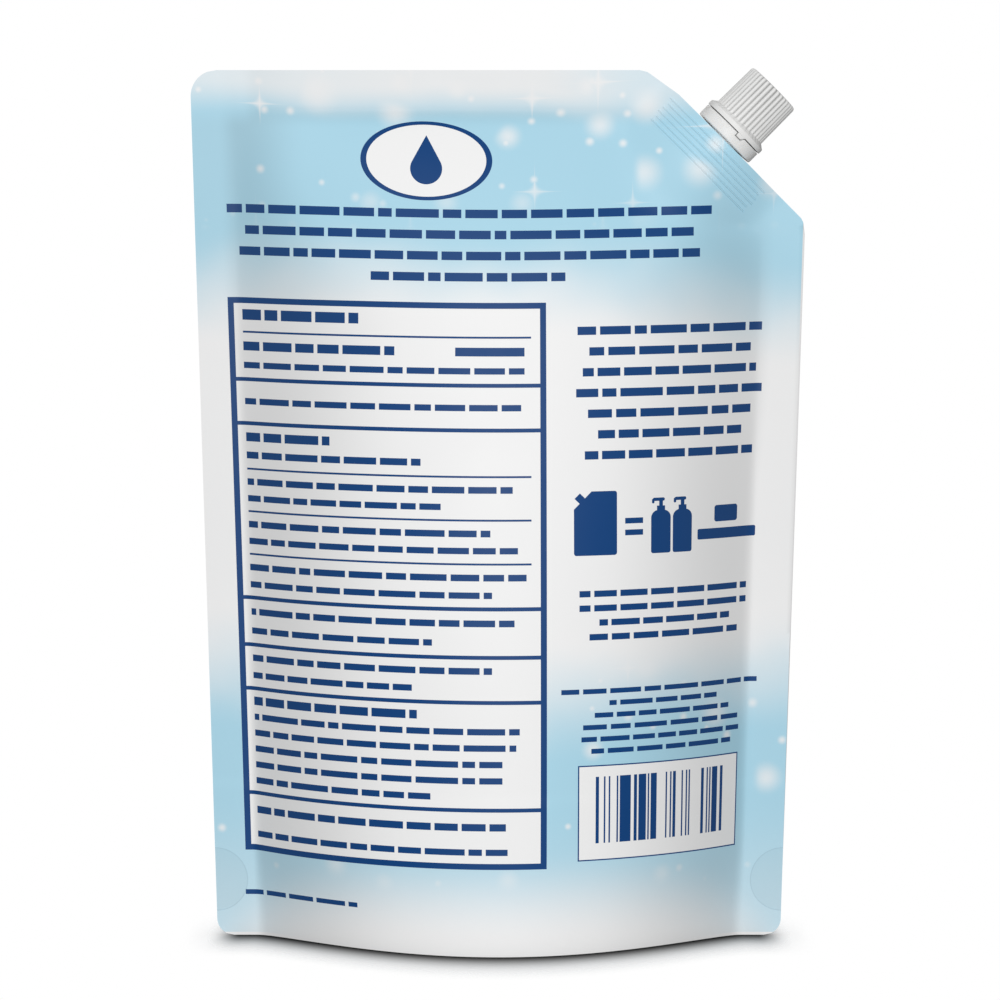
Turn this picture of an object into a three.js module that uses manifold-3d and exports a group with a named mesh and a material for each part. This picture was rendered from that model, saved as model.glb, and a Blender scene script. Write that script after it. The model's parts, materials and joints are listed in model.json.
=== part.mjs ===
// Spouted stand-up refill pouch for liquid soap: a sealed film pack with a weld-in spout,
// a tamper band and a screw cap on its cut corner.
// Millimetres, +Z up. The pack stands on z = 0, its sealing plane is y = 0 and its front faces -Y.

import * as THREE from 'three';
import { mergeVertices } from 'three/addons/utils/BufferGeometryUtils.js';
import Module from 'manifold-3d';

const wasm = await Module();
wasm.setup();

// Pouch outline
const pouchHeight = 263;
const topWidth = 185;
const baseWidth = 172;
const baseDepth = 65;
const topCornerRadius = 8;
const baseCornerRadius = 5;
const chamferLeg = 46;
const chamferCornerRadius = 12;

// Pouch film, seals and gusset
const filmPly = 0.16;
const sealWidth = 11.6;
const gussetHeight = 45;
const gussetRise = 4.5;
const rimWidth = 3;
const rimHeight = 1.4;
const punchRadius = 9.8;
const punchHeight = 17.3;

// Pouch filling: handles of its side profile, and the powers that shape its level sections
const shoulderDrop = 20.5;
const shoulderDepth = 16;
const bellyHeight = 106;
const bellySwell = 0.7;
const bodySectionPower = 1;
const baseSectionPower = 1.25;
const baseBlendHeight = 30;

// Spout: weld boat, bore, neck and bead
const spoutShift = 2.6;
const boreDiameter = 10;
const boatLength = 36;
const boatDepth = 11.5;
const boatWall = 1.3;
const boatTip = 0.8;
const weldRibCount = 6;
const weldRibHeight = 0.35;
const weldSkin = 0.5;
const flareRun = 8;
const flarePower = 1.5;
const channelRun = 45;
const neckWall = 1.7;
const spoutFlangeHeight = 1;
const beadHeight = 0.9;
const beadHook = 0.9;

// Tamper band
const bandWall = 1.45;
const bandSetback = 0.2;
const bandLipHeight = 0.9;
const bandLipGap = 0.7;

// Screw cap
const capHeight = 17;
const capRoof = 1.4;
const capWall = 1.45;
const threadRoom = 0.95;
const capEdge = 0.7;
const gripDraft = 0.2;
const gripRibCount = 36;
const gripRibHeight = 0.45;
const capFlangeReach = 1.55;
const capFlangeHeight = 1.4;
const capFlareHeight = 1.2;
const plugWall = 0.8;
const plugLength = 3;

// Tabs of the cap that key into the band
const tabCount = 2;
const tabDepth = 1.2;
const tabTip = 1.7;
const tabRamp = 1.4;
const tabTurn = -77;

// Fits and facets
const clearance = 0.3;
const seatGap = 0.4;
const overcut = 1;
const turnSegments = 48;

// Radii about the spout's axis
const boreRadius = boreDiameter / 2;
const boatThickness = boreDiameter + 2 * boatWall;
const neckRadius = boreRadius + neckWall;
const capBoreRadius = neckRadius + threadRoom;
const capRadius = capBoreRadius + capWall;
const capFlangeRadius = capRadius + capFlangeReach;
const bandRadius = capFlangeRadius - bandSetback;
const bandBoreRadius = bandRadius - bandWall;
const lipRadius = neckRadius + bandLipGap;
const beadRadius = lipRadius + beadHook;
const spoutFlangeRadius = bandBoreRadius - seatGap;
const plugRadius = boreRadius - clearance;

// Heights along the spout's axis, from the film's cut edge outwards
const flangeBase = clearance;
const flangeTop = flangeBase + spoutFlangeHeight;
const bandBase = seatGap;
const lipBase = flangeTop + seatGap;
const lipTop = lipBase + bandLipHeight;
const beadBase = lipTop + seatGap;
const beadTop = beadBase + beadHeight;
const bandTop = beadTop + clearance;
const capBase = bandTop + clearance;
const capTop = capBase + capHeight;
const capCeiling = capTop - capRoof;
const neckTop = capCeiling - clearance;

// A closed geometry as a solid for joining and cutting.
function solid(geometry) {
  const bare = geometry.clone();
  bare.deleteAttribute('normal');
  bare.deleteAttribute('uv');
  const merged = mergeVertices(bare, 1e-4);
  const corners = merged.index.array;
  const kept = [];
  for (let i = 0; i < corners.length; i += 3) {
    const [a, b, c] = corners.slice(i, i + 3);
    if (a !== b && b !== c && c !== a) kept.push(a, b, c);
  }
  return new wasm.Manifold(new wasm.Mesh({
    numProp: 3,
    vertProperties: new Float32Array(merged.attributes.position.array),
    triVerts: new Uint32Array(kept),
  }));
}

function geometryOf(body) {
  const mesh = body.getMesh();
  return indexed(mesh.vertProperties, mesh.triVerts);
}

function indexed(positions, corners) {
  const geometry = new THREE.BufferGeometry();
  geometry.setAttribute('position', new THREE.BufferAttribute(new Float32Array(positions), 3));
  geometry.setIndex(new THREE.BufferAttribute(new Uint32Array(corners), 1));
  geometry.computeVertexNormals();
  return geometry;
}

// A ring or a solid of revolution about z, from an [r, z] profile whose outer wall runs upwards.
function revolve(profile, segments = turnSegments) {
  const points = [...profile, profile[0]].map(([r, z]) => new THREE.Vector2(r, z));
  return new THREE.LatheGeometry(points, segments).rotateX(Math.PI / 2);
}

// A closed skin through outlines that run anticlockwise seen from the last one, with fanned ends.
function loft(outlines) {
  const count = outlines[0].length;
  const points = outlines.flat();
  const corners = [];
  for (let level = 0; level < outlines.length - 1; level++) {
    for (let k = 0; k < count; k++) {
      const a = level * count + k;
      const b = level * count + (k + 1) % count;
      corners.push(a, b, b + count, a, b + count, a + count);
    }
  }
  const last = (outlines.length - 1) * count;
  const centres = [outlines[0], outlines[outlines.length - 1]].map(
    (outline) => outline.reduce((sum, p) => sum.add(p), new THREE.Vector3()).divideScalar(count),
  );
  points.push(...centres);
  for (let k = 0; k < count; k++) {
    const next = (k + 1) % count;
    corners.push(points.length - 2, next, k);
    corners.push(points.length - 1, last + k, last + next);
  }
  return indexed(points.flatMap((p) => p.toArray()), corners);
}

function steps(from, to, count) {
  return Array.from({ length: count }, (unused, i) => from + (to - from) * (i + 1) / count);
}

// Pouch outline as functions of height
function halfWidth(z) {
  return THREE.MathUtils.lerp(baseWidth, topWidth, z / pouchHeight) / 2;
}

function cornerInset(radius, pastTangent) {
  const rise = THREE.MathUtils.clamp(pastTangent, 0, radius);
  return radius - Math.sqrt(radius * radius - rise * rise);
}

const sealTop = pouchHeight - sealWidth;
const chamferSum = topWidth / 2 - chamferLeg + pouchHeight;
const chamferInnerSum = chamferSum - sealWidth * Math.SQRT2;
const widthGain = (topWidth - baseWidth) / 2 / pouchHeight;
const chamferLow = (chamferSum - baseWidth / 2) / (1 + widthGain);
const chamferInnerLow = (chamferInnerSum - baseWidth / 2 + sealWidth) / (1 + widthGain);

function leftEdge(z) {
  return -halfWidth(z)
    + cornerInset(topCornerRadius, z - (pouchHeight - topCornerRadius))
    + cornerInset(baseCornerRadius, baseCornerRadius - z);
}

function rightEdge(z) {
  const side = halfWidth(z) - cornerInset(baseCornerRadius, baseCornerRadius - z);
  const arcCentreX = chamferSum - pouchHeight - chamferCornerRadius * Math.tan(Math.PI / 8);
  const arcRise = z - (pouchHeight - chamferCornerRadius);
  if (arcRise > chamferCornerRadius * Math.SQRT1_2) {
    return arcCentreX + Math.sqrt(Math.max(0, chamferCornerRadius ** 2 - arcRise ** 2));
  }
  return Math.min(side, chamferSum - z);
}

function innerLeft(z) {
  return sealWidth - halfWidth(z);
}

function innerRight(z) {
  return Math.min(halfWidth(z) - sealWidth, chamferInnerSum - z);
}

// The middle of the cut edge, moved along it, carries the spout.
const spoutX = (chamferSum - pouchHeight + halfWidth(chamferLow)) / 2 - spoutShift * Math.SQRT1_2;
const spoutZ = chamferSum - spoutX;

// The filled pouch's half depth at the middle of each height
const sideProfile = new THREE.CubicBezierCurve(
  new THREE.Vector2(0, sealTop),
  new THREE.Vector2(shoulderDepth, sealTop - shoulderDrop),
  new THREE.Vector2(baseDepth / 2 + bellySwell, bellyHeight),
  new THREE.Vector2(baseDepth / 2 - 2 * filmPly, 0),
);

function halfDepth(z) {
  if (z >= sealTop) return 0;
  let low = 0;
  let high = 1;
  for (let i = 0; i < 40; i++) {
    const t = (low + high) / 2;
    if (sideProfile.getPoint(t).y > z) low = t;
    else high = t;
  }
  return sideProfile.getPoint(low).x;
}

// The film over the weld boat, and the channel that runs from it into the filled body.
function spoutChannel(x, z) {
  const inward = (chamferSum - x - z) * Math.SQRT1_2;
  const along = (x - spoutX - (z - spoutZ)) * Math.SQRT1_2;
  const fade = 1 - THREE.MathUtils.smoothstep(inward, boatDepth + clearance, boatDepth + channelRun);
  const across = Math.max(0, 1 - (along / (boatLength / 2 + flareRun)) ** 2) ** flarePower;
  return (boatThickness / 2 + clearance + weldSkin) * fade * across;
}

function halfThickness(x, z) {
  const middle = (innerLeft(z) + innerRight(z)) / 2;
  const reach = (innerRight(z) - innerLeft(z)) / 2;
  const rise = THREE.MathUtils.smoothstep(z, 0, baseBlendHeight);
  const power = THREE.MathUtils.lerp(baseSectionPower, bodySectionPower, rise);
  const filled = halfDepth(z) * Math.max(0, 1 - ((x - middle) / reach) ** 2) ** power;
  const plies = z <= gussetHeight ? 2 : 1;
  return plies * filmPly + Math.cbrt(filled ** 3 + spoutChannel(x, z) ** 3);
}

function rowHeights() {
  const quarter = steps(0, Math.PI / 2, 4);
  const plyStep = 2 * filmPly;
  const rows = [
    0,
    ...quarter.map((a) => baseCornerRadius * (1 - Math.cos(a))),
    ...steps(baseCornerRadius, gussetHeight, 5),
    gussetHeight + plyStep,
    ...steps(gussetHeight + plyStep, chamferInnerLow, 15),
    chamferLow,
    ...steps(chamferLow, sealTop, 11),
    ...quarter.map((a) => pouchHeight - topCornerRadius * (1 - Math.sin(a))),
  ];
  return rows.sort((a, b) => a - b).filter((z, i) => i === 0 || z - rows[i - 1] > filmPly);
}

function rowStations(z) {
  const left = leftEdge(z);
  const right = rightEdge(z);
  const from = Math.max(innerLeft(z), left + filmPly);
  const to = Math.min(innerRight(z), right - filmPly);
  return [left, from, ...steps(from, to, 20), ...steps(to, right, 3)];
}

// One side of the gusset's underside: [distance in from the rim's outer edge, rise] pairs.
function undersideAt(half) {
  const room = half - 2 * filmPly;
  const share = THREE.MathUtils.smoothstep(room, 0, baseDepth / 4);
  const rim = Math.min(rimWidth, half / 3);
  return [
    [rim, 0],
    [rim + Math.min(rimHeight, half / 6), rimHeight * share],
    [half, gussetRise * share],
  ];
}

function pouchSkin() {
  const rows = rowHeights();
  const stations = rows.map(rowStations);
  const columns = stations[0].length;
  const points = [];
  const corners = [];
  const addPoint = (x, y, z) => points.push([x, y, z]) - 1;
  const addQuad = (a, b, c, d) => {
    for (const [p, q, r] of [[a, b, c], [a, c, d]]) {
      if (p !== q && q !== r && r !== p) corners.push(p, q, r);
    }
  };
  const side = (sign) => rows.map(
    (z, i) => stations[i].map((x) => addPoint(x, sign * halfThickness(x, z), z)),
  );
  const front = side(-1);
  const back = side(1);
  const top = rows.length - 1;
  const edge = columns - 1;
  for (let i = 0; i < top; i++) {
    for (let j = 0; j < edge; j++) {
      addQuad(front[i][j], front[i][j + 1], front[i + 1][j + 1], front[i + 1][j]);
      addQuad(back[i][j], back[i + 1][j], back[i + 1][j + 1], back[i][j + 1]);
    }
    addQuad(front[i][0], front[i + 1][0], back[i + 1][0], back[i][0]);
    addQuad(front[i][edge], back[i][edge], back[i + 1][edge], front[i + 1][edge]);
  }
  const under = stations[0].map((x, j) => {
    if (j === 0 || j === edge) {
      const [f, b] = [front[0][j], back[0][j]];
      return [f, f, f, b, b, b, b];
    }
    const half = halfThickness(x, 0);
    const [rim, step, fold] = undersideAt(half);
    return [
      front[0][j],
      addPoint(x, rim[0] - half, rim[1]),
      addPoint(x, step[0] - half, step[1]),
      addPoint(x, fold[0] - half, fold[1]),
      addPoint(x, half - step[0], step[1]),
      addPoint(x, half - rim[0], rim[1]),
      back[0][j],
    ];
  });
  for (let j = 0; j < edge; j++) {
    addQuad(front[top][j], front[top][j + 1], back[top][j + 1], back[top][j]);
    for (let k = 0; k < 6; k++) {
      addQuad(under[j][k], under[j][k + 1], under[j + 1][k + 1], under[j + 1][k]);
    }
  }
  return indexed(points.flat(), corners);
}

// A boat-shaped outline across the spout's axis: two bowed sides that meet in blunt tips.
function boatOutline(length, thickness, tip, z) {
  const sideSteps = 14;
  const outline = [];
  for (const sign of [1, -1]) {
    for (let k = 0; k <= sideSteps; k++) {
      const x = sign * length / 2 * Math.cos(Math.PI * k / sideSteps);
      const bow = 1 - (2 * x / length) ** 2;
      const y = sign * (tip + (thickness - tip) * bow) / 2;
      outline.push(new THREE.Vector3(x, y, z));
    }
  }
  return outline;
}

function atSpout(geometry) {
  return geometry.rotateY(Math.PI / 4).translate(spoutX, 0, spoutZ);
}

function makePouch() {
  const grown = 2 * clearance;
  const pocketAt = (z) => boatOutline(boatLength + grown, boatThickness + grown, boatTip + grown, z);
  const pocket = atSpout(loft([pocketAt(-boatDepth - clearance), pocketAt(boatDepth)]));
  let body = solid(pouchSkin()).subtract(solid(pocket));
  for (const sideX of [-1, 1]) {
    for (const sideY of [-1, 1]) {
      const disc = new THREE.CylinderGeometry(punchRadius, punchRadius, sealWidth, turnSegments);
      const y = sideY * (filmPly + sealWidth / 2);
      body = body.subtract(solid(disc.translate(sideX * halfWidth(punchHeight), y, punchHeight)));
    }
  }
  return geometryOf(body);
}

// The weld boat, ribbed where the films are sealed to it
function weldBoat() {
  const pitch = boatDepth / weldRibCount;
  const crest = (z) => boatOutline(boatLength, boatThickness, boatTip, z);
  const groove = (z) => boatOutline(boatLength, boatThickness - 2 * weldRibHeight, boatTip, z);
  const outlines = [];
  for (let k = 0; k < weldRibCount; k++) {
    const z = k * pitch - boatDepth;
    outlines.push(crest(z), crest(z + pitch / 2), groove(z + pitch * 2 / 3), groove(z + pitch * 5 / 6));
  }
  outlines.push(crest(0));
  return loft(outlines);
}

function makeSpout() {
  const root = boatThickness / 2 - weldSkin;
  const lead = neckWall / 3;
  const neckBody = revolve([
    [0, -boatDepth / 2],
    [root, -boatDepth / 2],
    [root, flangeBase],
    [spoutFlangeRadius, flangeBase],
    [spoutFlangeRadius, flangeTop],
    [neckRadius, flangeTop],
    [neckRadius, beadBase],
    [beadRadius, beadBase],
    [beadRadius, beadBase + beadHeight / 3],
    [neckRadius, beadTop],
    [neckRadius, neckTop - lead],
    [neckRadius - lead, neckTop],
    [0, neckTop],
  ]);
  const bore = revolve([
    [0, -boatDepth - overcut],
    [boreRadius, -boatDepth - overcut],
    [boreRadius, neckTop + overcut],
    [0, neckTop + overcut],
  ]);
  return geometryOf(solid(weldBoat()).add(solid(neckBody)).subtract(solid(bore)));
}

// A tab's outline unrolled round the band: one steep flank and one ramp, grown for the notch it drops in.
function tabOutline(growth, rootHeight) {
  const tip = -tabDepth - growth;
  return new THREE.Shape([
    new THREE.Vector2(-tabTip / 2 - growth, rootHeight),
    new THREE.Vector2(-tabTip / 2 - growth, tip),
    new THREE.Vector2(tabTip / 2 + growth, tip),
    new THREE.Vector2(tabTip / 2 + growth + tabRamp, rootHeight),
  ]);
}

// Tabs or notches set round the axis under the cap's base, between two radii.
function tabsRound(growth, innerRadius, outerRadius, rootHeight) {
  const middle = (innerRadius + outerRadius) / 2;
  return Array.from({ length: tabCount }, (unused, k) => {
    const depth = outerRadius - innerRadius;
    const tab = new THREE.ExtrudeGeometry(tabOutline(growth, rootHeight), { depth, bevelEnabled: false });
    const place = tab.attributes.position;
    for (let i = 0; i < place.count; i++) {
      const turn = THREE.MathUtils.degToRad(tabTurn) + 2 * Math.PI * k / tabCount;
      const angle = turn + place.getX(i) / middle;
      const radius = innerRadius + place.getZ(i);
      place.setXYZ(i, radius * Math.cos(angle), radius * Math.sin(angle), capBase + place.getY(i));
    }
    return solid(tab);
  });
}

function makeTamperBand() {
  const edge = bandWall / 5;
  let body = solid(revolve([
    [bandBoreRadius, bandBase],
    [bandRadius - edge, bandBase],
    [bandRadius, bandBase + edge],
    [bandRadius, bandTop],
    [bandBoreRadius, bandTop],
    [bandBoreRadius, lipTop],
    [lipRadius, lipTop - bandLipHeight / 4],
    [lipRadius, lipBase],
    [bandBoreRadius, lipBase],
  ]));
  for (const notch of tabsRound(clearance, bandBoreRadius - overcut, bandRadius + overcut, overcut)) {
    body = body.subtract(notch);
  }
  return geometryOf(body);
}

// The grip's scalloped outline at one height
function gripOutline(radius, z) {
  const perRib = 4;
  return Array.from({ length: gripRibCount * perRib }, (unused, k) => {
    const angle = 2 * Math.PI * k / (gripRibCount * perRib);
    const dip = gripRibHeight * (1 - Math.cos(angle * gripRibCount)) / 2;
    return new THREE.Vector3((radius - dip) * Math.cos(angle), (radius - dip) * Math.sin(angle), z);
  });
}

function makeScrewCap() {
  const topRadius = capRadius - gripDraft;
  const flangeTopHeight = capBase + capFlangeHeight;
  const grip = loft([
    gripOutline(capRadius, capBase + capFlangeHeight / 2),
    gripOutline(topRadius, capTop - capEdge),
    gripOutline(topRadius - capEdge / 3, capTop - capEdge / 3),
    gripOutline(topRadius - capEdge, capTop),
  ]);
  const skirt = revolve([
    [0, capBase],
    [capFlangeRadius, capBase],
    [capFlangeRadius, flangeTopHeight],
    [capRadius, flangeTopHeight + capFlareHeight],
    [0, flangeTopHeight + capFlareHeight],
  ]);
  const cavity = revolve([
    [0, capBase - overcut],
    [capBoreRadius, capBase - overcut],
    [capBoreRadius, capCeiling],
    [plugRadius, capCeiling],
    [plugRadius - plugWall / 4, capCeiling - plugLength],
    [plugRadius - plugWall, capCeiling - plugLength],
    [plugRadius - plugWall, capCeiling],
    [0, capCeiling],
  ]);
  let body = solid(grip).add(solid(skirt)).subtract(solid(cavity));
  for (const tab of tabsRound(0, bandBoreRadius + clearance, bandRadius, capFlangeHeight / 2)) {
    body = body.add(tab);
  }
  return geometryOf(body);
}

function named(name, geometry, color, roughness) {
  const material = new THREE.MeshStandardMaterial({ color, roughness, metalness: 0 });
  const mesh = new THREE.Mesh(geometry, material);
  mesh.name = name;
  return mesh;
}

const filmColor = 0xcfe4ee;
const mouldingColor = 0xf1f1ef;

const closure = new THREE.Group();
closure.position.set(spoutX, 0, spoutZ);
closure.rotation.y = Math.PI / 4;
closure.add(named('spout', makeSpout(), mouldingColor, 0.42));
closure.add(named('tamper_band', makeTamperBand(), mouldingColor, 0.4));
closure.add(named('screw_cap', makeScrewCap(), mouldingColor, 0.4));

const refillPouch = new THREE.Group();
refillPouch.add(named('pouch', makePouch(), filmColor, 0.45));
refillPouch.add(closure);

export default refillPouch;
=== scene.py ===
"""Liquid soap refill pouch: a printed film pack with a welded spout, a tamper band and a ribbed screw cap."""

import json
import math

import bmesh
import bpy
import numpy as np
from bpy.props import FloatProperty, FloatVectorProperty, IntProperty, PointerProperty
from mathutils import Matrix, Vector


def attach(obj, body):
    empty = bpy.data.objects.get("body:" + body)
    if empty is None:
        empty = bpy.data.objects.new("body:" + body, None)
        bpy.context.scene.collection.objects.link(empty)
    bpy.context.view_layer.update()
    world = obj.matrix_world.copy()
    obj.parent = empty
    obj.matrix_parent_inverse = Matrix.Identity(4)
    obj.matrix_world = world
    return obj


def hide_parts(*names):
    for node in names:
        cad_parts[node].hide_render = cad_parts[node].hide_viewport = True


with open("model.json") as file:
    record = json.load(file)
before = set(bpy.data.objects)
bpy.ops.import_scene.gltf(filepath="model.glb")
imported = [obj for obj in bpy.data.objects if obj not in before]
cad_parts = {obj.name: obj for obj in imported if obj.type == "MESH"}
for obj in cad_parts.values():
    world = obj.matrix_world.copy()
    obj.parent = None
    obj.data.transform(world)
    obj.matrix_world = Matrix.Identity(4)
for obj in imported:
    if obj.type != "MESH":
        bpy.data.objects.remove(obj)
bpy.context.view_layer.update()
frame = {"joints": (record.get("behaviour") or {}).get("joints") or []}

bl_info = {
    "name": "Soap refill pouch",
    "version": (1, 0, 0),
    "blender": (4, 5, 0),
    "location": "3D View > Sidebar > Refill Pouch",
    "description": "Builds a filled refill pouch with its corner spout, tamper band and screw cap",
    "category": "Add Mesh",
}

MM = 0.001
PACK, BAND, CAP = "pack", "band", "cap"

# Where the frame puts the closure: its axis leans out of the cut corner
TWIST = next(joint for joint in frame["joints"] if joint["name"] == "cap_twist")
SPOUT_PLACE = Vector(TWIST["pos_m"])
SPOUT_LEAN = math.atan2(TWIST["axis"][0], TWIST["axis"][2])
SPOUT_FRAME = Matrix.Translation(SPOUT_PLACE) @ Matrix.Rotation(SPOUT_LEAN, 4, "Y")

# Pouch outline and filling
TOP_CORNER_RADIUS = 8 * MM
BASE_CORNER_RADIUS = 5 * MM
CHAMFER_CORNER_RADIUS = 5 * MM
CHAMFER_TRIM = 2.8 * MM
TRIM_CLEARANCE = 1 * MM
SHOULDER_DROP = 20.5 * MM
SHOULDER_DEPTH = 16 * MM
BELLY_HEIGHT = 106 * MM
BELLY_SWELL = 0.7 * MM
BASE_SECTION_POWER = 1.25
BASE_BLEND_HEIGHT = 30 * MM
CREASE_SOFTNESS = 1.1 * MM
CHANNEL_SOFTNESS = 0.5 * MM
BACK_OVERLAP = 0.75 * MM
BACK_OVERLAP_RUN = 5 * MM

# Gusset, its rim and the punched spots where its plies are welded through
GUSSET_HEIGHT = 45 * MM
GUSSET_FADE = 4 * MM
GUSSET_RISE = 4.5 * MM
RIM_WIDTH = 3 * MM
RIM_HEIGHT = 1.4 * MM
FOLD_OPENING = (0.5 * MM, 16 * MM)
PUNCH_RADIUS = 9.8 * MM
PUNCH_HEIGHT = 17.3 * MM
PUNCH_STEPS = 96

# Film mesh
ROW_STEP = 1.25 * MM
FINE_ROW_STEP = 0.5 * MM
FINE_ROW_RUN = 13 * MM
MARGIN_STEPS = 9
BELLY_STEPS = 120
EDGE_CROWDING = 0.6
PROFILE_STEPS = 400
FLAT_ROWS, FLAT_COLUMNS = 280, 241
UNDERSIDE_NORMAL = -0.8

# Spout: weld boat, neck and bead
BOAT_LENGTH = 36 * MM
BOAT_DEPTH = 11.5 * MM
BOAT_WALL = 1.3 * MM
BOAT_TIP = 0.8 * MM
TIP_CROWDING = 0.4
POCKET_STEPS = 96
WELD_RIB_COUNT = 6
WELD_RIB_HEIGHT = 0.35 * MM
WELD_SKIN = 0.5 * MM
FLARE_RUN = 8 * MM
FLARE_POWER = 1.5
CHANNEL_RUN = 45 * MM
NECK_WALL = 1.7 * MM
SPOUT_FLANGE_HEIGHT = 1 * MM
BEAD_HEIGHT = 0.9 * MM
BEAD_HOOK = 0.9 * MM

# Weld ridges on both faces of the film, side by side from the cut corner inwards
RIDGE_COUNT = 6
RIDGE_FIRST = 2.5 * MM
RIDGE_PITCH = 1.68 * MM
RIDGE_LENGTH = 40 * MM
RIDGE_STAGGER = 0.02
RIDGE_RADIUS = 0.3 * MM
RIDGE_REACH = 25 * MM
RIDGE_TAPER = 0.2
RIDGE_STEPS = 72
RIDGE_SIDES = 8

# Tamper band
BAND_WALL = 1.45 * MM
BAND_SETBACK = 0.2 * MM
BAND_LIP_HEIGHT = 0.9 * MM
BAND_LIP_GAP = 0.7 * MM

# Screw cap
CAP_ROOF = 1.4 * MM
CAP_WALL = 1.45 * MM
THREAD_ROOM = 0.95 * MM
CAP_EDGE = 0.7 * MM
GRIP_DRAFT = 0.2 * MM
CAP_FLANGE_REACH = 1.55 * MM
CAP_FLANGE_HEIGHT = 1.4 * MM
CAP_FLARE_HEIGHT = 1.2 * MM
PLUG_WALL = 0.8 * MM
PLUG_LENGTH = 3 * MM
GATE_RADIUS = 1.2 * MM
GATE_DEPTH = 0.25 * MM
RIB_ROUNDNESS = 0.75

# Tabs of the cap that key into the band
TAB_COUNT = 2
TAB_DEPTH = 1.2 * MM
TAB_TIP = 1.7 * MM
TAB_RAMP = 1.4 * MM
TAB_TURN = math.radians(-77)
NOTCH_ROOT = 1 * MM

# Screw thread, cut half a turn apart on the neck and in the cap
THREAD_DEPTH = 0.7 * MM
THREAD_ROOT = 1.3 * MM
THREAD_CREST = 0.5 * MM
THREAD_RUN_OUT = 0.9 * MM
NECK_THREAD = (6.6 * MM, 15.6 * MM)
CAP_THREAD = (9.2 * MM, 13.4 * MM)
NECK_THREAD_TURN, CAP_THREAD_TURN = 0.0, 0.5
THREAD_STEP = 0.15 * MM

# Fits and facets
CLEARANCE = 0.3 * MM
SEAT_GAP = 0.4 * MM
EDGE_EASE = 0.16 * MM
EASE_SHARE = 0.45
EASE_STEPS = 5
CORNER_SLIVER = 1e-4
STEPS_PER_RIB = 12
TURN_STEPS = 192
MERGE = 1e-7
WALL_MATCH = 100 * MERGE

# Angles over which two faces meet in a crisp edge
FILM_CREASE = math.radians(50)
RIDGE_CREASE = math.radians(60)
MOULDED_EDGE = math.radians(38)

# Floor: how far from the pack's base its painted contact shadow reaches, where it fades out, and its spill
# past the ends
SHADOW_PAINT_EDGE = 2 * MM
SHADOW_PAINT_REACH = 20 * MM
FLOOR_REACH = 32 * MM
CORNER_FADE = 7 * MM
CORNER_SPILL = 4 * MM
SPILL_REACH = 11 * MM
SPILL_SHARE = 0.3
FLOOR_DROP = 0.05 * MM
FLOOR_CLOUDS = 3.0
FLOOR_ROUGHNESS = 0.9
FLOOR_DULL, FLOOR_BRIGHT = 0.88, 0.9
FLOOR_MARGIN = 48 * MM

# Softboxes' places and sizes in metres, and the camera's sensor in millimetres
KEY_PLACE, KEY_SIZE = (0.0, -1.7, 0.45), 0.5
TOP_PLACE, TOP_SIZE = (0.0, 0.1, 1.6), 0.6
BACK_PLACE, BACK_SIZE = (0.0, 1.6, 0.7), 0.9
SENSOR_WIDTH = 36


def paint(red, green, blue):
    """A colour written in 8-bit display values, as the linear colour that a shader takes."""
    shares = np.array((red, green, blue)) / 255
    linear = np.where(shares <= 0.04045, shares / 12.92, ((shares + 0.055) / 1.055) ** 2.4)
    return tuple(float(c) for c in linear) + (1.0,)


def length(name, description, default):
    return FloatProperty(name=name, description=description, default=default, unit="LENGTH", precision=5)


def colour(name, description, default):
    return FloatVectorProperty(
        name=name, description=description, default=default, subtype="COLOR", size=4, min=0, max=1
    )


class PouchSettings(bpy.types.PropertyGroup):
    """Sizes and colours of the film pouch."""

    height: length("Height", "Height of the standing pouch", 263 * MM)
    top_width: length("Top width", "Width across the top seal", 185 * MM)
    base_width: length("Base width", "Width across the base", 172 * MM)
    base_depth: length("Base depth", "Depth of the filled base", 65 * MM)
    chamfer_leg: length("Corner cut", "How far the spout corner is cut back each way", 46 * MM)
    seal_width: length("Seal width", "Width of the flat sealed margins", 11.6 * MM)
    film_ply: length("Film ply", "Thickness of one film", 0.16 * MM)
    sky: colour("Sky", "Printed pale blue", paint(176, 219, 237))
    mist: colour("Mist", "Printed near-white", paint(246, 246, 246))
    ink: colour("Ink", "Dark blue of rules and copy", paint(12, 66, 125))


class ClosureSettings(bpy.types.PropertyGroup):
    """Sizes and colours of the spout, band and cap."""

    bore_diameter: length("Bore", "Inner diameter of the spout", 10 * MM)
    cap_height: length("Cap height", "Height of the screw cap", 17 * MM)
    rib_count: IntProperty(name="Grip ribs", description="Ribs round the cap", default=36, min=6)
    rib_depth: length("Rib depth", "Depth of the valleys between the grip ribs", 0.6 * MM)
    thread_lead: length("Thread lead", "Rise of the thread in one turn", 3 * MM)
    white: colour("White", "Moulded white of the closure", paint(243, 243, 242))


class StageSettings(bpy.types.PropertyGroup):
    """Camera and studio light."""

    camera_distance: length("Camera distance", "Distance in front of the sealing plane", 1237.35 * MM)
    camera_height: length("Camera height", "Height over the floor", 264.3 * MM)
    camera_shift: length("Camera offset", "Place to the right of the middle", 0.3 * MM)
    camera_pitch: FloatProperty(
        name="Camera pitch", description="Downward tilt of the camera", default=0.1052, subtype="ANGLE"
    )
    lens: FloatProperty(name="Lens", description="Focal length in millimetres", default=148.07)
    key_power: FloatProperty(name="Key", description="Front softbox, in watts", default=21.6)
    top_power: FloatProperty(name="Top", description="Overhead softbox, in watts", default=3.4)
    back_power: FloatProperty(name="Back", description="Rear softbox, in watts", default=20.4)
    ambient: FloatProperty(name="Ambient", description="Level of the surrounding light", default=0.2)


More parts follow.
